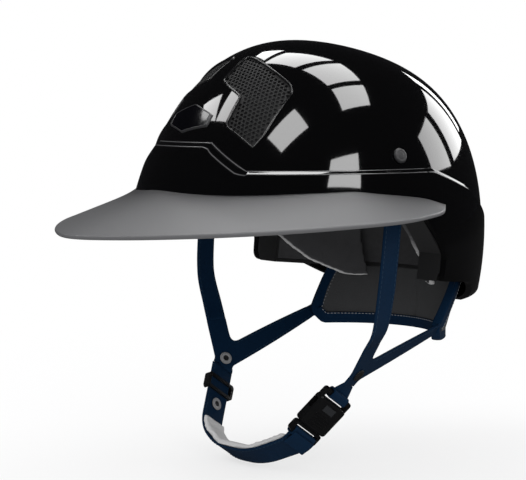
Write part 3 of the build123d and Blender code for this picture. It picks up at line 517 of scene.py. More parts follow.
# The shell's form
def dome_value(p, inset=0.0):
    """Below 0 inside the shell's form moved inwards by inset, above 0 outside."""
    p = np.asarray(p, float)
    half = [SHELL[k] - inset for k in range(3)]
    along = p[..., 1] * math.cos(LEAN) - p[..., 2] * math.sin(LEAN)
    up = p[..., 1] * math.sin(LEAN) + p[..., 2] * math.cos(LEAN)
    ring = np.sqrt((p[..., 0] / half[0]) ** 2 + (along / half[1]) ** 2)
    rise = np.where(up >= 0, np.abs(up / half[2]) ** RISE_POWER, (up / CURL) ** 2)
    return ring ** PLAN_POWER + rise - 1


def crease_height(p):
    """How high the crease round the shell runs at a place in plan."""
    side = np.interp(np.abs(p[..., 0]), *CREASE_BY_X)
    rear = np.interp(p[..., 1], *CREASE_BY_Y)
    return np.where(p[..., 1] < 0, side, rear)


def ledge_run(p):
    """How far down the ledge under the crease reaches: furthest where the crease slants."""
    return np.where(p[..., 1] < 0, np.interp(np.abs(p[..., 0]), *LEDGE_RUN_BY_X), LEDGE_RUN)


def band_out(p):
    """How far the lower band stands out: a flat ledge with a small rounding at each end."""
    t = np.clip((crease_height(p) - p[..., 2]) / ledge_run(p), 0, 1)
    w = LEDGE_ROUND
    bend = 2 * w * (1 - w)
    flat = (t - w / 2) / (1 - w)
    return BAND_STEP * np.where(t < w, t * t / bend, np.where(t > 1 - w, 1 - (1 - t) ** 2 / bend, flat))


HALVINGS, BAND_ROUNDS = 40, 8
STRAIGHT_UP = math.radians(90)


def slope_of(value, p, h=0.02):
    steps = [value(p + h * e) - value(p - h * e) for e in np.eye(3)]
    return unit(np.stack(steps, -1))


def before_band(p):
    """Where points of the finished surface were on the plain dome."""
    p = np.asarray(p, float)
    out = slope_of(dome_value, p)
    base = p
    for _ in range(BAND_ROUNDS):
        base = p - out * band_out(base)[..., None]
    return base


def outer_value(p):
    return dome_value(p, -band_out(before_band(p)))


def onto(value, start, way, reach=70.0):
    """Where rays meet a surface, found by halving."""
    start, way = np.asarray(start, float), unit(way)
    low, high = np.full(start.shape[:-1], -reach), np.full(start.shape[:-1], reach)
    for _ in range(HALVINGS):
        middle = (low + high) / 2
        outside = value(start + way * middle[..., None]) > 0
        high, low = np.where(outside, middle, high), np.where(outside, low, middle)
    return start + way * ((low + high) / 2)[..., None]


def dome_points(turn, rise, out):
    """Points of the form at a plan angle and a rise angle, moved out by out."""
    ring = np.cos(rise) ** (2 / PLAN_POWER)
    lift = np.abs(np.sin(rise))
    up = np.where(rise < 0, -CURL * lift, (SHELL[2] + out) * lift ** (2 / RISE_POWER))
    along = (SHELL[1] + out) * ring * np.sin(turn)
    x = (SHELL[0] + out) * ring * np.cos(turn)
    return np.stack([x, along * math.cos(LEAN) + up * math.sin(LEAN),
                     -along * math.sin(LEAN) + up * math.cos(LEAN)], -1)


def shell_grid(columns=320):
    turn = np.linspace(0, 2 * math.pi, columns, endpoint=False)

    def rise_at(drop):
        low, high = np.full(columns, SHELL_FOOT), np.full(columns, math.radians(70))
        for _ in range(HALVINGS):
            middle = (low + high) / 2
            p = dome_points(turn, middle, 0.0)
            above = p[:, 2] > crease_height(p) - drop * ledge_run(p)
            high, low = np.where(above, middle, high), np.where(above, low, middle)
        return low

    crease, foot = rise_at(0.0), rise_at(1.0)
    guard, end_guard = crease + (crease - foot) * 0.25, foot - (crease - foot) * 0.25
    rows = [STRAIGHT_UP * (1 - s) + guard * s for s in np.linspace(0, 1, 42)[1:] ** 1.15]
    corner = np.linspace(0, LEDGE_ROUND, 7)
    flat = np.linspace(LEDGE_ROUND, 1 - LEDGE_ROUND, 6)
    ledge = np.concatenate([[-0.08], corner, flat[1:], 1 - corner[::-1][1:], [1.08]])
    rows += [crease * (1 - s) + foot * s for s in ledge]
    rows += [end_guard * (1 - s) + SHELL_FOOT * s for s in np.linspace(0, 1, 26)]
    outer = []
    for rise in rows:
        base = dome_points(turn, rise, 0.0)
        outer.append(dome_points(turn, rise, band_out(base)))
    inner = [dome_points(turn, rise, -SHELL_THICK) for rise in rows]
    return np.array(outer), np.array(inner)


def prism(name, outline, to_world, near, far):
    """A closed prism used only for cutting; outline is two numbers a point."""
    n = len(outline)
    points = [to_world(x, y, depth) for depth in (near, far) for x, y in outline]
    faces = [(i, (i + 1) % n, n + (i + 1) % n, n + i) for i in range(n)]
    faces += [tuple(reversed(range(n))), tuple(range(n, 2 * n))]
    return fix_normals(built(name, points, faces))


def cut(obj, cutters):
    for cutter in cutters:
        step = obj.modifiers.new("cut", "BOOLEAN")
        step.operation, step.solver, step.object = "DIFFERENCE", "EXACT", cutter
    bake(obj)
    for cutter in cutters:
        bpy.data.objects.remove(cutter)


def bake(obj):
    """Replaces an object's mesh by its evaluated one and drops the modifiers."""
    bpy.context.view_layer.update()
    made = bpy.data.meshes.new_from_object(obj.evaluated_get(bpy.context.evaluated_depsgraph_get()))
    obj.modifiers.clear()
    obj.data = made


VENT_TURN, VENT_RISE = math.radians(30.6), math.radians(42.0)
VENT_X = vec(math.cos(VENT_TURN), math.sin(VENT_TURN), 0)
VENT_Z = vec(math.cos(VENT_RISE) * math.sin(VENT_TURN), -math.cos(VENT_RISE) * math.cos(VENT_TURN),
             math.sin(VENT_RISE))
VENT_Y = np.cross(VENT_Z, VENT_X)
VENT_AT = vec(0.289, -0.568, 0.755) * SHELL
VENT_OUTLINE = rounded([(x * VENT_SIZE[0], y * VENT_SIZE[1]) for x, y in VENT_SHARES], VENT_CORNER,
                       closed=True, steps=5)


def vent_place(x, y, depth=0.0):
    return VENT_AT + VENT_X * x + VENT_Y * y + VENT_Z * depth


# What is cut from under the shell's edge, seen from the side, and how far it reaches past the shell
EDGE_OUTLINE = rounded([(-220, 38), (11, 33.4), (19, 26), (31.4, 11.6), (36.6, 3.4), (34.8, -16.4), (74, -20),
                        (105, -40), (220, -40), (220, -160), (-220, -160)], 4.0, closed=True, steps=5)
EDGE_REACH, VENT_CUT = 160, (-14, 26)
# Where the ledge's edges get thin grey lines of painted highlight, as shares of its drop, and how far back
HIGHLIGHT_AT, HIGHLIGHT_WIDE, HIGHLIGHT_BACK_TO = 0.07, 0.06, 20


def make_shell():
    outer, inner = shell_grid()
    rows, columns = outer.shape[:2]
    top = dome_points(np.zeros(1), np.full(1, STRAIGHT_UP), 0.0)
    top_inner = dome_points(np.zeros(1), np.full(1, STRAIGHT_UP), -SHELL_THICK)
    points = np.vstack([outer.reshape(-1, 3), inner.reshape(-1, 3), top, top_inner])
    size = rows * columns
    faces = grid_faces(rows, columns, close_columns=True)
    faces += [face[::-1] for face in grid_faces(rows, columns, close_columns=True, start=size)]
    faces += [(2 * size, (c + 1) % columns, c) for c in range(columns)]
    faces += [(2 * size + 1, size + c, size + (c + 1) % columns) for c in range(columns)]
    last = (rows - 1) * columns
    faces += [(last + c, last + (c + 1) % columns, size + last + (c + 1) % columns, size + last + c)
              for c in range(columns)]
    shell = fix_normals(piece("shell_skin", points, faces, "shell", stands_for=["outer_shell"]))
    edge = prism("edge_cutter", EDGE_OUTLINE, lambda y, z, x: vec(x, y, z), -EDGE_REACH, EDGE_REACH)
    left = prism("left_vent_cutter", VENT_OUTLINE, vent_place, *VENT_CUT)
    right = prism("right_vent_cutter", VENT_OUTLINE, lambda x, y, d: vent_place(x, y, d) * FLIP, *VENT_CUT)
    cut(shell, [edge, left, right])
    place = values_of(shell.data.vertices, "co", 3) / MM
    true_normals(shell.data, place)
    base = before_band(place)
    drop = (crease_height(base) - base[:, 2]) / ledge_run(base)
    # Painted highlight: grey lines along both edges of the ledge, on the outer face forward of the back, for
    # the light its rounded corners catch.
    shown = np.where(place[:, 1] < HIGHLIGHT_BACK_TO, 1.0, 0.0) * (dome_value(place, SHELL_THICK - 1) > 0)
    lines = sum(np.exp(-((drop - at) / HIGHLIGHT_WIDE) ** 2) for at in (HIGHLIGHT_AT, 1 - HIGHLIGHT_AT))
    paint(shell.data, "ledge_highlight", lines * shown)


def true_normals(data, place, close=0.8):
    """Gives a face's corners the normals of the form it lies on. Faces that a cutter made stay flat."""
    at = values_of(data.loops, "vertex_index", kind=np.int32)
    totals = values_of(data.polygons, "loop_total", kind=np.int32)
    flat = np.repeat(values_of(data.polygons, "normal", 3), totals, axis=0)
    made = flat.copy()
    for form in (slope_of(outer_value, place), -slope_of(lambda p: dome_value(p, SHELL_THICK), place)):
        lies_on = np.sum(form[at] * flat, 1) > close
        made[lies_on] = form[at][lies_on]
    shade_smooth(data)
    data.normals_split_custom_set([tuple(n) for n in made])


def paint(data, name, values):
    layer = data.attributes.new(name, "FLOAT", "POINT")
    layer.data.foreach_set("value", np.asarray(values, np.float32))


# Vents, badge, rivets
def inside_outline(points, outline):
    x, y = points[:, 0:1], points[:, 1:2]
    a, b = outline, np.roll(outline, -1, 0)
    level = (a[:, 1] > y) != (b[:, 1] > y)
    crossing = (b[:, 0] - a[:, 0]) * (y - a[:, 1]) / (b[:, 1] - a[:, 1] + 1e-12) + a[:, 0]
    return (level & (x < crossing)).sum(1) % 2 == 1


def nearest_on(points, outline):
    a, b = outline[None], np.roll(outline, -1, 0)[None]
    p = points[:, None]
    t = np.clip(np.sum((p - a) * (b - a), 2) / np.maximum(np.sum((b - a) ** 2, 2), 1e-9), 0, 1)
    spot = a + (b - a) * t[..., None]
    gap = np.linalg.norm(p - spot, axis=2)
    best = gap.argmin(1)
    pick = np.arange(len(points))
    return spot[pick, best], gap[pick, best]


def dropped(flat, inset):
    start = np.array([vent_place(x, y) for x, y in flat])
    return onto(lambda p: dome_value(p, inset), start, VENT_Z)


# Points round a hole, the plain sheet that each hole needs beside it, and a hole's rounded lip
HOLE_SIDES, HOLE_EDGE, HOLE_LIP, LIP_DEEP = 12, 1.6, 0.12, 0.25


def make_vent_mesh():
    """A punched sheet: staggered round holes with a plain edge, dropped onto the shell's form."""
    turns = np.linspace(0, 2 * math.pi, HOLE_SIDES, endpoint=False) + math.pi / HOLE_SIDES
    rim = np.array([(math.cos(a), math.sin(a)) for a in turns])
    sixth = math.pi / 3
    cell = rim / np.cos(turns % sixth - sixth / 2)[:, None] * MESH_PITCH / 2
    spots = np.array([(i * MESH_PITCH * math.cos(math.pi / 6), (j + 0.5 * (i % 2)) * MESH_PITCH)
                      for i in range(-16, 17) for j in range(-24, 25)]) + VENT_OUTLINE.mean(0)
    within = inside_outline(spots, VENT_OUTLINE)
    _, gap = nearest_on(spots, VENT_OUTLINE)
    flat, faces = [], []
    for spot, held, far in zip(spots, within, gap):
        if not held and far > MESH_PITCH * 0.62:
            continue
        outer = spot + cell
        stray = ~inside_outline(outer, VENT_OUTLINE)
        if stray.any():
            outer[stray] = nearest_on(outer[stray], VENT_OUTLINE)[0]
        start = len(flat)
        if held and far > MESH_HOLE + HOLE_EDGE:
            rings = ((outer, 0), (spot + rim * (MESH_HOLE + HOLE_LIP), 0), (spot + rim * MESH_HOLE, LIP_DEEP),
                     (spot + rim * MESH_HOLE, MESH_THICK))
            flat += [(*p, deep) for ring, deep in rings for p in ring]
            faces += grid_faces(len(rings), HOLE_SIDES, close_columns=True, start=start)
        else:
            flat += [(*p, 0) for p in outer] + [(*outer.mean(0), 0)]
            faces += [(start + k, start + (k + 1) % HOLE_SIDES, start + HOLE_SIDES)
                      for k in range(HOLE_SIDES)]
    flat = np.array(flat)
    return dropped(flat[:, :2], MESH_SUNK) - VENT_Z * flat[:, 2:3], faces


# The vent frame's section: how far in from the opening's edge, and how far out of the shell
VENT_RIM = [(0.25, -3.2), (0.25, 0.05), (0.45, 0.38), (0.85, 0.5), (1.35, 0.45), (1.7, 0.15), (1.85, -0.5),
            (1.85, -3.2)]


def make_vents():
    points, faces = make_vent_mesh()
    for side, flip in SIDES:
        piece("punched_mesh_" + side, points * flip, faces, "vent_mesh", stands_for=["vent_mesh_" + side],
              smooth=False)
    path = dropped(spaced(np.vstack([VENT_OUTLINE, VENT_OUTLINE[:1]]), 180, closed=True), 0.0)
    out = slope_of(dome_value, path)
    inward = unit(np.cross(out, tangents(path, closed=True)))
    if np.sum(inward[0] * (path.mean(0) - path[0])) < 0:
        inward = -inward
    rows = np.vstack([[path[i] + inward[i] * a + out[i] * b for a, b in VENT_RIM] for i in range(len(path))])
    faces = grid_faces(len(path), len(VENT_RIM), close_rows=True, close_columns=True)
    for side, flip in SIDES:
        fix_normals(piece("vent_rim_" + side, rows * flip, faces, "vent_frame",
                          stands_for=["vent_frame_" + side]))


BADGE_RISE = math.radians(33.6)
BADGE_AT = vec(0, -0.766 * SHELL[1], 0.65 * SHELL[2])
BADGE_Z = vec(0, -math.cos(BADGE_RISE), math.sin(BADGE_RISE))
BADGE_Y = vec(0, math.sin(BADGE_RISE), math.cos(BADGE_RISE))


def badge_outline(share, spread=8):
    """Six sides, as points of the badge's own plane."""
    corner = BADGE_CORNER_SHARE
    corners = vec(0, 1, 1, corner, 1, -corner, 0, -1, -1, -corner, -1, corner).reshape(-1, 2)
    corners *= (share * BADGE_WIDE / 2, share * BADGE_HIGH / 2)
    return np.vstack([np.linspace(corners[i], corners[(i + 1) % 6], spread, endpoint=False)
                      for i in range(6)])


def badge_row(share, height):
    """The badge's outline at a share of its size, at a height over the shell."""
    flat = badge_outline(share)
    start = BADGE_AT + flat[:, :1] * vec(1, 0, 0) + flat[:, 1:] * BADGE_Y
    return onto(lambda p: dome_value(p, -height), start, BADGE_Z)


def make_badge():
    share, proud = BADGE_FACE_SHARE, BADGE_PROUD
    steps = ((1.0, 0.05), (0.99, 0.4), (share + 0.01, proud - 0.1), (share, proud), (share - 0.03, proud),
             (share - 0.05, proud - 0.6))
    rows = [badge_row(*step) for step in steps]
    n = len(rows[0])
    fix_normals(piece("hexagon_badge_rim", np.vstack(rows), grid_faces(len(rows), n, close_columns=True),
                      "badge_rim", stands_for=["front_badge"]))
    steps = [(share - 0.035, proud - 0.6)]
    steps += [((share - 0.045) * k, proud - 0.15) for k in (1.0, 0.8, 0.6, 0.4, 0.2, 0.02)]
    rows = [badge_row(*step) for step in steps]
    faces = grid_faces(len(rows), n, close_columns=True)
    faces.append(tuple(range((len(rows) - 1) * n, len(rows) * n)))
    face = fix_normals(piece("hexagon_badge_face", np.vstack(rows), faces, "badge"))
    face.data.set_sharp_from_angle(angle=math.radians(22))


RIVET_FROM = vec(100, -1.3, 73.5)
RIVET_RISE, RIVET_TURN = math.radians(17), math.radians(87.3)
RIVET_OUT = vec(math.cos(RIVET_RISE) * math.sin(RIVET_TURN), -math.cos(RIVET_RISE) * math.cos(RIVET_TURN),
                math.sin(RIVET_RISE))
RIVET_PROFILE = [(AXIS, -7.2), (2.0, -7.2), (2.0, 0.3), (5.0, 0.3), (5.4, 0.55), (5.4, 1.35), (5.05, 1.95),
                 (4.4, 2.3), (3.6, 2.42), (3.3, 2.3), (2.9, 2.3), (2.6, 2.44), (1.2, 2.5), (AXIS, 2.5)]


def make_rivets():
    at = onto(dome_value, RIVET_FROM, RIVET_OUT, 20.0)
    left, _ = [lathe("side_rivet_" + side, RIVET_PROFILE, at * flip, RIVET_OUT * flip, "rivet")
               for side, flip in SIDES]
    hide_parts("side_rivets")


# Brim
BRIM_SHARES = [(0, 1), (0.257, 0.927), (0.574, 0.718), (0.824, 0.437), (0.980, 0.116), (1.0, 0.0)]
BRIM_BACK_SHARES = [(0.980, 0.230), (0.905, 0.622)]


def brim_outline(half, front, end_half, count=90):
    """The brim's outline in plan, from one rear end round the front to the other."""
    p = [(a * half, BRIM_SIDE_Y + b * (front - BRIM_SIDE_Y)) for a, b in BRIM_SHARES]
    p += [(a * half, BRIM_SIDE_Y + b * (BRIM_END_Y - BRIM_SIDE_Y)) for a, b in BRIM_BACK_SHARES]
    p.append((end_half, BRIM_END_Y))
    whole = [(-x, y) for x, y in reversed(p[1:])] + p
    right = curve_through(whole, 2 * count - 1)[count - 1:]
    return np.vstack([right[::-1] * (-1, 1), right[1:]])


# Where the brim's drop beside the shell fades, its share of the fall, and how far the painted shade in the
# hollow beside the shell reaches
DROP_REACH, DROP_SHARE, SHADE_REACH, SLIM_REACH = 30, 0.10, 15.0, 9.0


def make_brim(steps=22, around=9):
    rim = brim_outline(BRIM_HALF, BRIM_FRONT, BRIM_END_HALF)
    collar = brim_outline(COLLAR_HALF, COLLAR_FRONT, COLLAR_END_HALF)
    rim = np.column_stack([rim, BRIM_Z + rim[:, 1] * BRIM_SLOPE])
    collar = np.column_stack([collar, COLLAR_Z - collar[:, 1] * COLLAR_SLOPE])
    joint = onto(lambda p: dome_value(p, -BAND_STEP - 0.3), collar, rim - collar, 60.0)
    past = np.sum((rim - joint) * (rim - collar), 1) < 0
    joint[past] = rim[past]
    reach = np.where(past, 0, np.linalg.norm(rim - joint, axis=1))
    slim = np.clip(reach / SLIM_REACH, 0.12, 1)
    share = np.linspace(0, 1, steps) ** 1.25
    loops, shade = [], []
    for i, (a, b) in enumerate(zip(joint, rim)):
        plan = unit((b - a if reach[i] > 0.2 else b)[:2])
        fall = DROP_SHARE * min(1, reach[i] / DROP_REACH)
        thick, edge = BRIM_THICK * slim[i], BRIM_EDGE * slim[i]
        height = b[2] + (a[2] - b[2]) * ((1 - share) * (1 - fall) + fall * (1 - share) ** 8)
        flat = a[:2] + (b - a)[:2] * share[:, None] - plan * edge * share[:, None]
        top = np.column_stack([flat, height])
        bend = [vec(*(b[:2] - plan * edge * (1 - math.sin(w))), b[2] - thick / 2 + thick / 2 * math.cos(w))
                for w in np.linspace(0, math.pi, around)[1:]]
        loops.append(np.vstack([top, bend, top[::-1][1:] - vec(0, 0, thick)]))
        # Painted shade: darkest where the brim meets the shell, fading outwards.
        near = np.exp(-share * reach[i] / SHADE_REACH)
        shade.append(np.concatenate([near, np.zeros(around - 1), near[::-1][1:]]))
    n, k = len(loops), len(loops[0])
    faces = grid_faces(n, k, close_columns=True) + end_faces(n, k)
    plate = fix_normals(piece("brim_plate", np.vstack(loops), faces, "visor", stands_for=["brim"]))
    paint(plate.data, "shade_beside_shell", np.concatenate(shade))


# Harness
LOOP_TILT = math.radians(35)
LOOP_Y = vec(0, math.sin(LOOP_TILT), math.cos(LOOP_TILT))
LOOP_W = vec(0, -math.cos(LOOP_TILT), math.sin(LOOP_TILT))
LOOP_AT = vec(0, -17, -86)
BUCKLE_TURN = math.radians(64)
BUCKLE_A = vec(math.cos(BUCKLE_TURN), 0, 0) + LOOP_Y * math.sin(BUCKLE_TURN)
BUCKLE_O = vec(math.sin(BUCKLE_TURN), 0, 0) - LOOP_Y * math.cos(BUCKLE_TURN)
BUCKLE_AT = LOOP_AT + vec(57, 0, 0) + LOOP_Y * -31.39
SOCKET_BAR, LUG_TOP, LUG_HALF = 3.6, 19.25, 2.5
PLUG_BAR_TOP, PLUG_BOTTOM = -18.6, -22.2
WEB_CLEAR = 0.35
REAR_TAPER = 0.4
SEAM_INSET = 1.7
CROTCH_ROUND = 8.0


def loop_place(x, y):
    return LOOP_AT + vec(x, 0, 0) + LOOP_Y * y


def buckle_place(a, w=0.0, o=0.0):
    return BUCKLE_AT + BUCKLE_A * a + LOOP_W * w + BUCKLE_O * o


CHIN_START = loop_place(-74.625, -12.045)
CHIN_TURN = loop_place(-51.0, -64.02)
CHIN_RUN = unit(CHIN_TURN - CHIN_START)
CHIN_END = buckle_place(PLUG_BOTTOM - WEB_CLEAR - WEB_THICK / 2)
CHIN_LEAD = buckle_place(PLUG_BOTTOM - WEB_CLEAR - WEB_THICK - 6.5)


def edge_lines(line, across, out, wide):
    """The lines along a ribbon's edges where it is sewn, on both faces."""
    return [(line + across * (wide / 2 - SEAM_INSET) * side + out * face * (WEB_THICK / 2), out * face)
            for face in (1, -1) for side in (1, -1)]


def flat_yoke(name, middle, ends, stands_for):
    """A Y of flat webbing in one plane, with rounded crotches."""
    u = unit(ends[1] - ends[0])
    n = unit(np.cross(ends[1] - ends[0], ends[2] - ends[0]))
    v = np.cross(n, u)
    flat = [np.array((np.dot(e - ends[0], u), np.dot(e - ends[0], v))) for e in (*ends, middle)]
    centre = flat.pop()
    rays = [(unit(end - centre), np.linalg.norm(end - centre)) for end in flat]
    rays.sort(key=lambda ray: math.atan2(ray[0][1], ray[0][0]))
    outline = []
    for i, (way, length) in enumerate(rays):
        after = rays[(i + 1) % 3][0]
        a, b = np.array((-way[1], way[0])) * WEB_WIDE / 2, np.array((after[1], -after[0])) * WEB_WIDE / 2
        outline += [(centre + way * length - a, 0.0), (centre + way * length + a, 0.0)]
        t = np.linalg.solve(np.array([way, -after]).T, b - a)
        outline.append((centre + a + way * t[0], CROTCH_ROUND))
    line = []
    for i, (p, radius) in enumerate(outline):
        if not radius:
            line.append(p)
            continue
        before, later = outline[i - 1][0], outline[(i + 1) % len(outline)][0]
        room = min(radius, 0.45 * np.linalg.norm(before - p), 0.45 * np.linalg.norm(later - p))
        a, b = p + unit(before - p) * room, p + unit(later - p) * room
        line += [(1 - s) ** 2 * a + 2 * s * (1 - s) * p + s * s * b for s in np.linspace(0, 1, 8)]
    line = spaced(np.array(line + line[:1]), 260, closed=True)
    tail = flat[1] - centre
    reach, tail_way = np.linalg.norm(tail), unit(tail)
    tail_side = np.array((-tail_way[1], tail_way[0]))
    along, off = (line - centre) @ tail_way, (line - centre) @ tail_side
    share = np.clip(along / reach, 0, 1)
    off = np.where(np.abs(off) < WEB_WIDE, off * (1 - REAR_TAPER * share ** 2), off)
    line = centre + along[:, None] * tail_way + off[:, None] * tail_side
    k = len(line)
    points, uv = [], []
    for height in (WEB_THICK / 2, -WEB_THICK / 2):
        for p in line:
            points.append(ends[0] + u * p[0] + v * p[1] + n * height)
            uv.append(p)
    faces = end_faces(2, k) + [(i, k + i, k + (i + 1) % k, (i + 1) % k) for i in range(k)]
    made = piece(name, points, faces, "webbing", stands_for=stands_for, uv=uv, smooth=False)
    soften(fix_normals(made), 0.45)
    return n, ends[0] + u * centre[0] + v * centre[1]


# The front strap's lane on the left, from the rivet down. The right one's lower end leads further forward.
LANE = ((91.9, -0.5, 82.0), (96.5, -2.7, 73.5), (99.5, -4.5, 62.9), (103.1, -7.5, 45), (105.6, -11.7, 20),
        (105.6, -14, 0), (103.4, -15.5, -25))
LEAD_FROM, RIGHT_LEAD = 4, vec(0, -2.5, 0)
LIMB_END, REAR_END = vec(91.5, -17, -60), vec(72, 62.5, -58)
YOKE_MIDDLE = {"left": vec(76.3, -14.8, -84), "right": vec(-77, -19, -89)}
# Lengths along the straps: each yoke's stem, its limb above the joining point, the rear tuck and seam
LEFT_STEM, RIGHT_STEM, RIGHT_GAP, LIMB_RUN = 9.0, 3.0, 0.3, 14
TUCK_RUN, REAR_SEAM_FROM, REAR_SEAM_GAP = 5, 15, 2


def strap_side(side, m):
    """The front and rear straps of one side."""
    limb, rear, middle = LIMB_END * m, REAR_END * m, YOKE_MIDDLE[side]
    lane = [vec(*p) * m for p in LANE]
    if side == "left":
        target = buckle_place(LUG_TOP + WEB_CLEAR + WEB_THICK / 2)
        stem, stem_way = target + BUCKLE_A * LEFT_STEM, -BUCKLE_A
        end_wide = WEB_WIDE
    else:
        target = CHIN_START - CHIN_RUN * RIGHT_GAP
        stem, stem_way = CHIN_START - CHIN_RUN * RIGHT_STEM, CHIN_RUN
        end_wide = CHIN_WIDE
        lane[LEAD_FROM:] = [p + RIGHT_LEAD for p in lane[LEAD_FROM:]]
    n, centre = flat_yoke("yoke_webbing_" + side, middle, [limb, rear, stem], ["yoke_" + side])
    limb_way = unit(centre - limb)
    path = curve_through(lane + [limb - limb_way * LIMB_RUN, limb], 90)
    limb_across = unit(np.cross(n, limb_way))
    if limb_across[1] < 0:
        limb_across = -limb_across
    blend = np.clip((-path[:, 2] - 20) / 34, 0, 1)[:, None]
    across = unit(vec(0, 1, 0) * (1 - blend) + limb_across * blend)
    _, line, across, out = ribbon("front_strap_" + side, path, across, WEB_WIDE, "webbing")
    seams = edge_lines(line, across, out, WEB_WIDE)
    rear_way = unit(rear - centre)
    side_way = unit(np.cross(n, rear_way))
    tuck = spaced(np.array([rear - rear_way, rear + rear_way * TUCK_RUN]), 6)
    ribbon("rear_strap_tuck_" + side, tuck, side_way, WEB_WIDE * (1 - REAR_TAPER) - 0.2, "webbing",
           thick=WEB_THICK - 0.1)
    reach = np.linalg.norm(rear - centre)
    run = spaced(np.array([centre + rear_way * REAR_SEAM_FROM, rear - rear_way * REAR_SEAM_GAP]), 30)
    share = (np.linalg.norm(run - centre, axis=1) / reach)[:, None]
    half = WEB_WIDE / 2 * (1 - REAR_TAPER * share ** 2) - SEAM_INSET
    seams += [(run + side_way * edge * half + n * face * WEB_THICK / 2, np.tile(n * face, (len(run), 1)))
              for face in (1, -1) for edge in (1, -1)]
    stem_across = unit(np.cross(n, stem_way))
    if np.dot(stem_across, LOOP_W) < 0:
        stem_across = -stem_across
    stem_line = spaced(np.array([stem, target]), 12)
    turn = np.linspace(0, 1, 12)[:, None]
    ribbon("strap_end_" + side, stem_line, unit(stem_across * (1 - turn) + LOOP_W * turn),
           WEB_WIDE + (end_wide - WEB_WIDE) * turn[:, 0], "webbing")
    stitch_rows("strap_stitches_" + side, seams)
    return n, centre


def bar_loop(name, top, bottom, wide, body="helmet"):
    """The turn of webbing round a buckle bar."""
    middle, off = (top + bottom) / 2, WEB_CLEAR + WEB_THICK / 2
    a, o = (top - bottom) / 2 + off, LUG_HALF + off
    corners = [buckle_place(middle + x, 0, y) for x, y in ((a, o), (a, -o), (-a, -o), (-a, o))]
    line = rounded(corners, 1.6, closed=True, steps=5)
    ribbon(name, line, LOOP_W, wide, "webbing", body, closed=True)


def follow_plug(*soft):
    """Bakes each piece's transform into its mesh."""
    for obj in soft:
        tuple(CHIN_LEAD * MM)
        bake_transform(obj)


SNAP_PROFILE = [(AXIS, 0.15), (4.6, 0.15), (4.8, 0.4), (4.8, 0.95), (4.45, 1.3), (2.1, 1.3), (1.9, 0.7),
                (AXIS, 0.6)]
SNAP_RIM_PROFILE = [(2.1, 1.25), (2.3, 1.52), (3.2, 1.6), (4.2, 1.5), (4.75, 1.1), (4.85, 0.8), (4.7, 0.7),
                    (2.1, 0.9)]
LOW_SNAP_RUN = 33
CHIN_ROUND = 17.0
# How far the chin strap's tail stands off the plug, by where it is on the plug
TAIL_AT = ((PLUG_BAR_TOP - 1.5, 2.9), (PLUG_BOTTOM - 2, 2.7), (PLUG_BOTTOM - 9, 0.6))


def make_snap(label, at, out):
    """A snap through the strap, with a pale rim on its inner face."""
    made = []
    for face, way in (("out", unit(out)), ("in", -unit(out))):
        seat = at + way * WEB_THICK / 2
        made.append(lathe("snap_%s_%s" % (label, face), SNAP_PROFILE, seat, way, "snap"))
        if way[0] * (1 if label == "left" else -1) < 0:
            lathe("snap_rim_%s_%s" % (label, face), SNAP_RIM_PROFILE, seat, way, "snap_rim")
    return made[0]


def make_harness():
    (left_out, left_middle), (right_out, right_middle) = [strap_side(side, flip) for side, flip in SIDES]
    bar_loop("buckle_turn_left", LUG_TOP, LUG_TOP - SOCKET_BAR, WEB_WIDE)
    chin = rounded([CHIN_START, CHIN_TURN, loop_place(-24, -75.92), loop_place(12.98, -74.97), CHIN_LEAD,
                    CHIN_END], CHIN_ROUND, steps=12)
    strap, line, across, out = ribbon("chin_webbing", spaced(chin, 150), LOOP_W, CHIN_WIDE, "webbing", None,
                                      ["chin_strap"])
    bar_loop("buckle_turn_chin", PLUG_BAR_TOP, PLUG_BOTTOM, CHIN_WIDE, "plug")
    follow_plug(strap, stitch_rows("chin_stitches", edge_lines(line, across, out, CHIN_WIDE), body=None))
    tail = rounded([buckle_place(a, 0, LUG_HALF + off) for a, off in TAIL_AT], 3.0)
    ribbon("chin_tail", spaced(tail, 16), LOOP_W, CHIN_WIDE - 1, "webbing", "plug")
    left = make_snap("left", left_middle, left_out)
    make_snap("right", right_middle, right_out)
    make_snap("low", CHIN_START + CHIN_RUN * LOW_SNAP_RUN, np.cross(CHIN_RUN, LOOP_W))
    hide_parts("snap_studs")


# Buckle and slider

# The rounding of each moulded CAD piece's edges, and the small blocks: length, width, height
EDGE_ROUNDS = {"buckle_socket": 0.35, "buckle_plug": 0.4, "buckle_prong_front": 0.25,
               "buckle_prong_rear": 0.25, "strap_slider": 0.35}
SOCKET_FACE, RIB_FROM, RIB_PITCH = 4.5, -8.6, 2.1
SOCKET_RIB, PLUG_RIB, LENS = (0.9, 15.0, 0.7), (1.0, 20.0, 0.5), (5.2, 10.5, 0.7)
PLUG_RIB_AT, LENS_AT = -13.9, 6.2


def rib_block(name, along, out, size, finish="buckle", body="helmet", bevel=0.25):
    """A small moulded block with rounded edges, on the buckle."""
    points = [buckle_place(along, 0, out) + BUCKLE_A * x * size[0] / 2 + LOOP_W * y * size[1] / 2
              + BUCKLE_O * z * size[2] / 2 for x in (-1, 1) for y in (-1, 1) for z in (-1, 1)]
    faces = [(0, 1, 3, 2), (4, 6, 7, 5), (0, 4, 5, 1), (2, 3, 7, 6), (0, 2, 6, 4), (1, 5, 7, 3)]
    soften(fix_normals(piece(name, points, faces, finish, body, smooth=False)), bevel)


def make_buckle():
    for node, width in EDGE_ROUNDS.items():
        shade_smooth(nodes[node].data, False)
        soften(nodes[node], width, angle=40)
    faces = (("out", 1), ("in", -1))
    for label, face in faces:
        for i in range(5):
            along = RIB_FROM + i * RIB_PITCH
            rib_block("socket_rib_%s_%d" % (label, i), along, face * SOCKET_FACE, SOCKET_RIB)
    rib_block("socket_lens", LENS_AT, SOCKET_FACE, LENS, "buckle_lens", bevel=0.3)
    for label, face in faces:
        rib_block("plug_rib_" + label, PLUG_RIB_AT, face * LUG_HALF, PLUG_RIB, body="plug", bevel=0.2)


# Nape

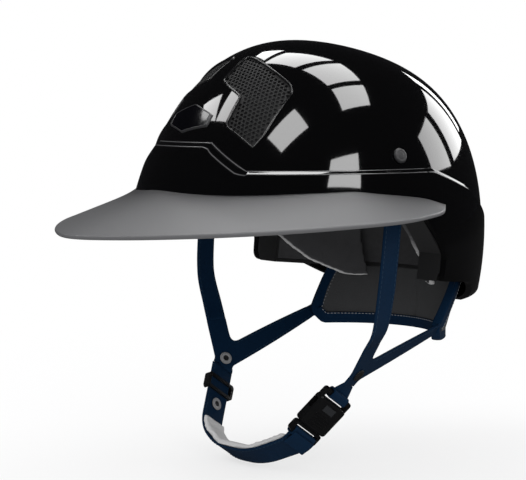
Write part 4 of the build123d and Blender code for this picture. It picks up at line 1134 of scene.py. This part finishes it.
# Heights of the panel's edges, of the corner where its edging turns, and of the hem that thins the panel
PANEL_TOP, PANEL_LOW, EDGING_TOP, EDGING_TURN, EDGING_LOW = -20.4, -66.4, -20.6, -60.4, -62.4
HEM_FROM, HEM = -64.2, 3.0
NAPE_FRONT_BY_Z = ((-67, -56, -20.3), (72, 63, 84))
PUFF, SIDE_FOLD, MIDDLE_FOLD, SIDE_FOLD_AT = 1.2, 1.6, 1.0, math.radians(66)
EDGING_THICK, EDGING_ROUND = NAPE_THICK + 1.6, 9.0


def nape_half(z, axis, out=0.0):
    """Half the size of the nape's oval at a height."""
    t = (z - NAPE_TOP[2]) / (NAPE_LOW[2] - NAPE_TOP[2])
    return NAPE_TOP[axis] + (NAPE_LOW[axis] - NAPE_TOP[axis]) * t + out


def nape_place(turn, z, out=0.0):
    return np.stack([nape_half(z, 0, out) * np.sin(turn), NAPE_Y + nape_half(z, 1, out) * np.cos(turn),
                     z + 0 * turn], -1)


def nape_front_turn(z, back=0.0):
    """How far round from the back the panel's front edge is at a height."""
    y = np.interp(z, *NAPE_FRONT_BY_Z) + back
    return np.arccos(np.clip((y - NAPE_Y) / nape_half(z, 1), -1, 1))


def make_nape(rows=30, columns=120):
    front, back = [], []
    middle = NAPE_THICK / 2
    for z in np.linspace(PANEL_TOP, PANEL_LOW, rows):
        reach = nape_front_turn(z, 1.2)
        turn, share = np.linspace(reach, -reach, columns), np.linspace(-1, 1, columns)
        depth = (PANEL_TOP - z) / (PANEL_TOP - PANEL_LOW)
        puff = PUFF * np.sin(math.pi * np.clip(depth, 0, 1)) * (1 - share ** 8)
        fold = SIDE_FOLD * np.exp(-((np.abs(turn) - SIDE_FOLD_AT) / 0.035) ** 2)
        fold += MIDDLE_FOLD * np.exp(-(turn / 0.03) ** 2)
        edge = np.clip((1 - np.abs(share)) * 14, 0, 1) ** 0.5
        if z < HEM_FROM:
            edge *= ((z - HEM_FROM) / HEM + 1) ** 0.5
        front.append(nape_place(turn, z, -middle + (fold - puff - middle) * edge))
        back.append(nape_place(turn, z, -middle + (middle + puff * 0.3) * edge))
    size = rows * columns
    faces = grid_faces(rows, columns) + [face[::-1] for face in grid_faces(rows, columns, start=size)]
    border = [r * columns for r in range(rows)] + [(rows - 1) * columns + c for c in range(1, columns)]
    border += [r * columns + columns - 1 for r in range(rows - 2, -1, -1)] + list(range(columns - 2, 0, -1))
    faces += [(a, b, b + size, a + size) for a, b in zip(border, border[1:] + border[:1])]
    panel = fix_normals(piece("nape_lining", np.vstack(front + back), faces, "lining",
                              stands_for=["nape_panel", "nape_studs"]))
    path = [nape_place(nape_front_turn(z, EDGING_WIDE / 2 / 0.85), z, -middle)
            for z in np.linspace(EDGING_TOP, EDGING_TURN, 26)]
    low_turn = nape_front_turn(EDGING_LOW, EDGING_WIDE * 0.55)
    path += [nape_place(turn, EDGING_LOW, -middle) for turn in np.linspace(low_turn, 0, 40)]
    path = np.array([p.reshape(3) for p in path])
    path = spaced(rounded(np.vstack([path, path[::-1][1:] * FLIP]), EDGING_ROUND), 190)
    out = unit(path * vec(1, 1, 0) - vec(0, NAPE_Y, 0))
    across = unit(np.cross(tangents(path), out))
    _, line, across, out = ribbon("nape_binding", path, across, EDGING_WIDE, "webbing",
                                  stands_for=["nape_edging"], thick=EDGING_THICK, selvedge=0.1)
    inward = across if across[10] @ vec(0, 1, 0.4) >= 0 else -across
    lines = [(line + inward * (EDGING_WIDE / 2 - 1.0) + out * face * EDGING_THICK / 2, out * face)
             for face in (1, -1)]
    stitch_rows("nape_edge_stitches", lines, "pale_thread", stitch=1.7, gap=1.1, thread=0.5)


# Pads
PAD_PRESSURE, PAD_FILL, PAD_FRAMES, PAD_SMOOTHINGS = 4.0, 0.6, 20, 9
# How far cloth may move a pad's points, and how far they start inside the CAD pad
PAD_CAP, PAD_SHRINK = 2.4, 0.5
# The form of the foam that pads lie on: half sizes and the size of its lower curl
FOAM_HALF, FOAM_CURL, PAD_GROWTH = (81, 102, 121), 150, 4.4


def puffed(node, finish, cap, shrink, held, voxel, body="helmet"):
    """A soft pad: the CAD pad remeshed, blown up a little with cloth, and held where held(points) is true."""
    obj = placed(node + "_soft", nodes[node].data.copy())
    remesh = obj.modifiers.new("even_out", "REMESH")
    remesh.mode, remesh.voxel_size = "VOXEL", voxel * MM
    bake(obj)
    start = values_of(obj.data.vertices, "co", 3) - values_of(obj.data.vertices, "normal", 3) * shrink * MM
    for _ in range(PAD_SMOOTHINGS):
        start = relaxed(obj.data, relaxed(obj.data, start, 0.5), -0.53)
    obj.data.vertices.foreach_set("co", start.ravel())
    obj.data.update()
    stuff(obj, held(start / MM))
    move = values_of(obj.data.vertices, "co", 3) - start
    far = np.linalg.norm(move, axis=1, keepdims=True)
    start = start + move * np.minimum(1, cap * MM / np.maximum(far, 1e-9))
    obj.data.vertices.foreach_set("co", start.ravel())
    finer = obj.modifiers.new("finer", "SUBSURF")
    finer.levels = finer.render_levels = 1
    bake(obj)
    dress(obj, finish, body, stands_for=[node])
    return obj


def stuff(obj, held):
    """Blows a pad up as a cloth bag that stays where held is true."""
    fixed = obj.vertex_groups.new(name="held")
    fixed.add([int(i) for i in np.nonzero(held)[0]], 1.0, "REPLACE")
    cloth = obj.modifiers.new("stuffing", "CLOTH")
    made = cloth.settings
    made.use_pressure, made.uniform_pressure_force = True, PAD_PRESSURE
    made.quality, made.vertex_group_mass = 4, "held"
    made.effector_weights.gravity = 0
    made.tension_stiffness = made.compression_stiffness = 25
    made.bending_stiffness = 2
    cloth.point_cache.frame_start, cloth.point_cache.frame_end = 1, PAD_FRAMES
    for step in range(1, PAD_FRAMES + 1):
        scene.frame_set(step)
    bake(obj)
    scene.frame_set(1)


def relaxed(data, place, share):
    """Moves each point part of the way to the middle of its neighbours."""
    a, b = values_of(data.edges, "vertices", 2, np.int32).T
    total, count = np.zeros_like(place), np.zeros((len(place), 1))
    np.add.at(total, a, place[b])
    np.add.at(total, b, place[a])
    np.add.at(count, a, 1)
    np.add.at(count, b, 1)
    return place + (total / np.maximum(count, 1) - place) * share


def pad_back(p):
    """True where a point is on the side of a pad that lies on the foam."""
    half = [size + PAD_GROWTH for size in FOAM_HALF]
    along = p[:, 1] * math.cos(LEAN) - p[:, 2] * math.sin(LEAN)
    up = p[:, 1] * math.sin(LEAN) + p[:, 2] * math.cos(LEAN)
    ring = np.sqrt((p[:, 0] / half[0]) ** 2 + (along / half[1]) ** 2)
    rise = np.where(up >= 0, np.abs(up / half[2]) ** RISE_POWER, (up / FOAM_CURL) ** 2)
    return ring ** PLAN_POWER + rise > 1


def make_pads():
    for node, finish, voxel in (("side_pad_left", "side_lining", 2.2), ("side_pad_right", "side_lining", 2.2),
                                ("brow_pad", "lining", 2.4), ("crown_pad", "lining", 3.0)):
        puffed(node, finish, PAD_CAP, PAD_SHRINK, pad_back, voxel)
    on_strap = -74.2
    follow_plug(puffed("chin_pad", "chin_fabric", 2.2, 0.3,
                       lambda p: np.sum((p - LOOP_AT) * LOOP_Y, 1) < on_strap, 2.2, body=None))


# The whole helmet
make_shell()
make_vents()
make_badge()
make_rivets()
make_brim()
make_harness()
make_buckle()
make_nape()
make_pads()

# What each CAD piece wears where it shows
WORN = {"shell": "outer_shell", "visor": "brim", "vent_mesh": "vent_mesh_left vent_mesh_right",
        "vent_frame": "vent_frame_left vent_frame_right", "badge": "front_badge", "rivet": "side_rivets",
        "metal": "rivet_washers", "foam": "eps_liner nape_studs", "trim": "edge_trim",
        "webbing": "yoke_left yoke_right chin_strap nape_edging", "lining": "nape_panel brow_pad crown_pad",
        "side_lining": "side_pad_left side_pad_right", "chin_fabric": "chin_pad", "snap": "snap_studs",
        "buckle": "buckle_socket buckle_plug buckle_prong_front buckle_prong_rear strap_slider"}
for finish, wearers in WORN.items():
    for node in wearers.split():
        nodes[node].data.materials.clear()
        nodes[node].data.materials.append(FINISH[finish])

# Floor, lights, camera

# Corners of the soft lights that the gloss shows, in millimetres, and how strongly they shine
PANELS = {
    "rear_top_a": [(-974, 316, 1230), (-1007, 462, 1154), (-811, 533, 1272), (-732, 170, 1413)],
    "rear_top_b": [(-643, 82, 1463), (-700, 462, 1362), (-226, 704, 1419), (-146, 169, 1584)],
    "rear_top_c": [(-19, 197, 1588), (-128, 732, 1417), (333, 759, 1369), (482, 276, 1500)],
    "rear_top_d": [(569, 292, 1467), (435, 753, 1343), (789, 700, 1203), (924, 278, 1276)],
    "front_top": [(657, -343, 1418), (982, -275, 1233), (963, -718, 1057), (667, -816, 1204)],
    "low_side": [(1310, 339, 853), (1338, -68, 874), (1458, -176, 635), (1476, 299, 539)],
    "back_a": [(328, 1358, 780), (746, 1215, 726), (790, 1331, 405), (354, 1521, 350)],
    "back_b": [(-349, 1366, 756), (171, 1393, 768), (221, 1545, 354), (-396, 1519, 312)],
    "back_c": [(-480, 1330, 750), (-500, 1485, 320), (-620, 1445, 295), (-640, 1262, 746)],
    "front_far_a": [(-1054, -492, 1099), (-792, -498, 1298), (-543, -893, 1212), (-843, -785, 1110)],
    "front_far_b": [(-631, -499, 1383), (-371, -617, 1429), (-271, -937, 1269), (-518, -898, 1219)],
}
GLOWS = {"front": 9.5, "back": 5.5}
# Area lights: place in metres, side in metres, power in watts
LAMPS = {"key": ((-0.9, -1.3, 1.7), 1.5, 24.0), "fill": ((1.9, -0.9, 0.9), 1.6, 16.0),
         "back": ((0.4, 1.8, 1.2), 1.5, 14.0)}
FLOOR_HALF, FLOOR_GAP = 9000.0, 0.5
# The floor shines by itself, and more so from this far out, in metres, so that it meets the white air
SHINE_FROM, SHINE_RISE, SHINE_LEAST = 0.12, 1.6, 0.65


def empty_tree(owner):
    made = Nodes(owner)
    made.tree.nodes.clear()
    return made


def make_air():
    """White behind the helmet, soft grey as light, and nearly black where gloss mirrors it."""
    air = empty_tree(bpy.data.worlds.new("studio_air"))
    light, dark, white = (air.add("ShaderNodeBackground", sockets={"Color": (*colour, 1), "Strength": 1.0})
                          for colour in ((0.62, 0.62, 0.63), (0.012, 0.012, 0.013), (1, 1, 1)))
    lit = air.blend(air.add("ShaderNodeLightPath", out="Is Glossy Ray"), light, dark)
    seen = air.blend(air.add("ShaderNodeLightPath", out="Is Camera Ray"), lit, white)
    air.add("ShaderNodeOutputWorld", sockets={0: seen})
    scene.world = air.owner


def make_floor():
    ground = empty_tree(bpy.data.materials.new("pale_floor"))
    pale, dark = (ground.add("ShaderNodeBsdfDiffuse", sockets={"Color": colour})
                  for colour in ((0.9, 0.9, 0.9, 1), (0.02, 0.02, 0.02, 1)))
    white = ground.add("ShaderNodeEmission", sockets={"Strength": 1.0})
    spot = ground.add("ShaderNodeTexCoord", out="Object")
    far = ground.add("ShaderNodeVectorMath", {"operation": "LENGTH"}, {0: spot}, out="Value")
    shine = ((far - SHINE_FROM) * SHINE_RISE).within(0.0, 1.0) * (1 - SHINE_LEAST) + SHINE_LEAST
    mirrored = ground.add("ShaderNodeLightPath", out="Is Glossy Ray")
    shown = ground.blend(mirrored, ground.blend(shine, pale, white), dark)
    ground.add("ShaderNodeOutputMaterial", sockets={0: shown})
    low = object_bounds()[0][2] / MM - FLOOR_GAP
    corners = [(x * FLOOR_HALF, y * FLOOR_HALF, low) for x, y in ((-1, -1), (1, -1), (1, 1), (-1, 1))]
    floor = built("studio_floor", corners, [(0, 1, 2, 3)])
    floor.data.materials.append(ground.owner)
    return floor


def make_softboxes():
    glows = {}
    for row, strength in GLOWS.items():
        glow = empty_tree(bpy.data.materials.new("softbox_glow_" + row))
        shine = glow.add("ShaderNodeEmission", sockets={"Strength": strength})
        glow.add("ShaderNodeOutputMaterial", sockets={0: shine})
        glows[row] = glow.owner
    made = []
    for name, corners in PANELS.items():
        obj = built("softbox_" + name, corners, [(0, 1, 2, 3)])
        obj.data.materials.append(glows["back" if name.startswith("back") else "front"])
        obj.visible_camera = obj.visible_diffuse = obj.visible_shadow = False
        made.append(obj)
    return made


def make_lamps():
    made = []
    for name, (place, size, power) in LAMPS.items():
        lamp = bpy.data.lights.new(name + "_light", "AREA")
        lamp.shape, lamp.size, lamp.energy = "SQUARE", size, power
        obj = placed(name + "_light", lamp)
        away = unit(place)
        obj.location = place
        obj.rotation_euler = (math.acos(away[2]), 0, math.atan2(away[0], -away[1]))
        obj.visible_glossy = False
        made.append(obj)
    return made


def make_studio():
    make_air()
    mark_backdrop(make_floor(), *make_softboxes(), *make_lamps())


def make_camera(azimuth=51.5, rise=4.89, distance=1304.78, lens=119.15, target=(-20.79, -26.13, 8.13)):
    a, e = math.radians(azimuth), math.radians(rise)
    back = vec(math.sin(a) * math.cos(e), -math.cos(a) * math.cos(e), math.sin(e))
    data = bpy.data.cameras.new("studio_camera")
    data.lens, data.sensor_width, data.clip_end = lens, 36.0, 40.0
    camera = placed("studio_camera", data)
    camera.location = (vec(*target) + back * distance) * MM
    camera.rotation_euler = (math.pi / 2 - e, 0, a)
    scene.camera = camera


make_studio()
make_camera()
scene.view_settings.view_transform = "Standard"
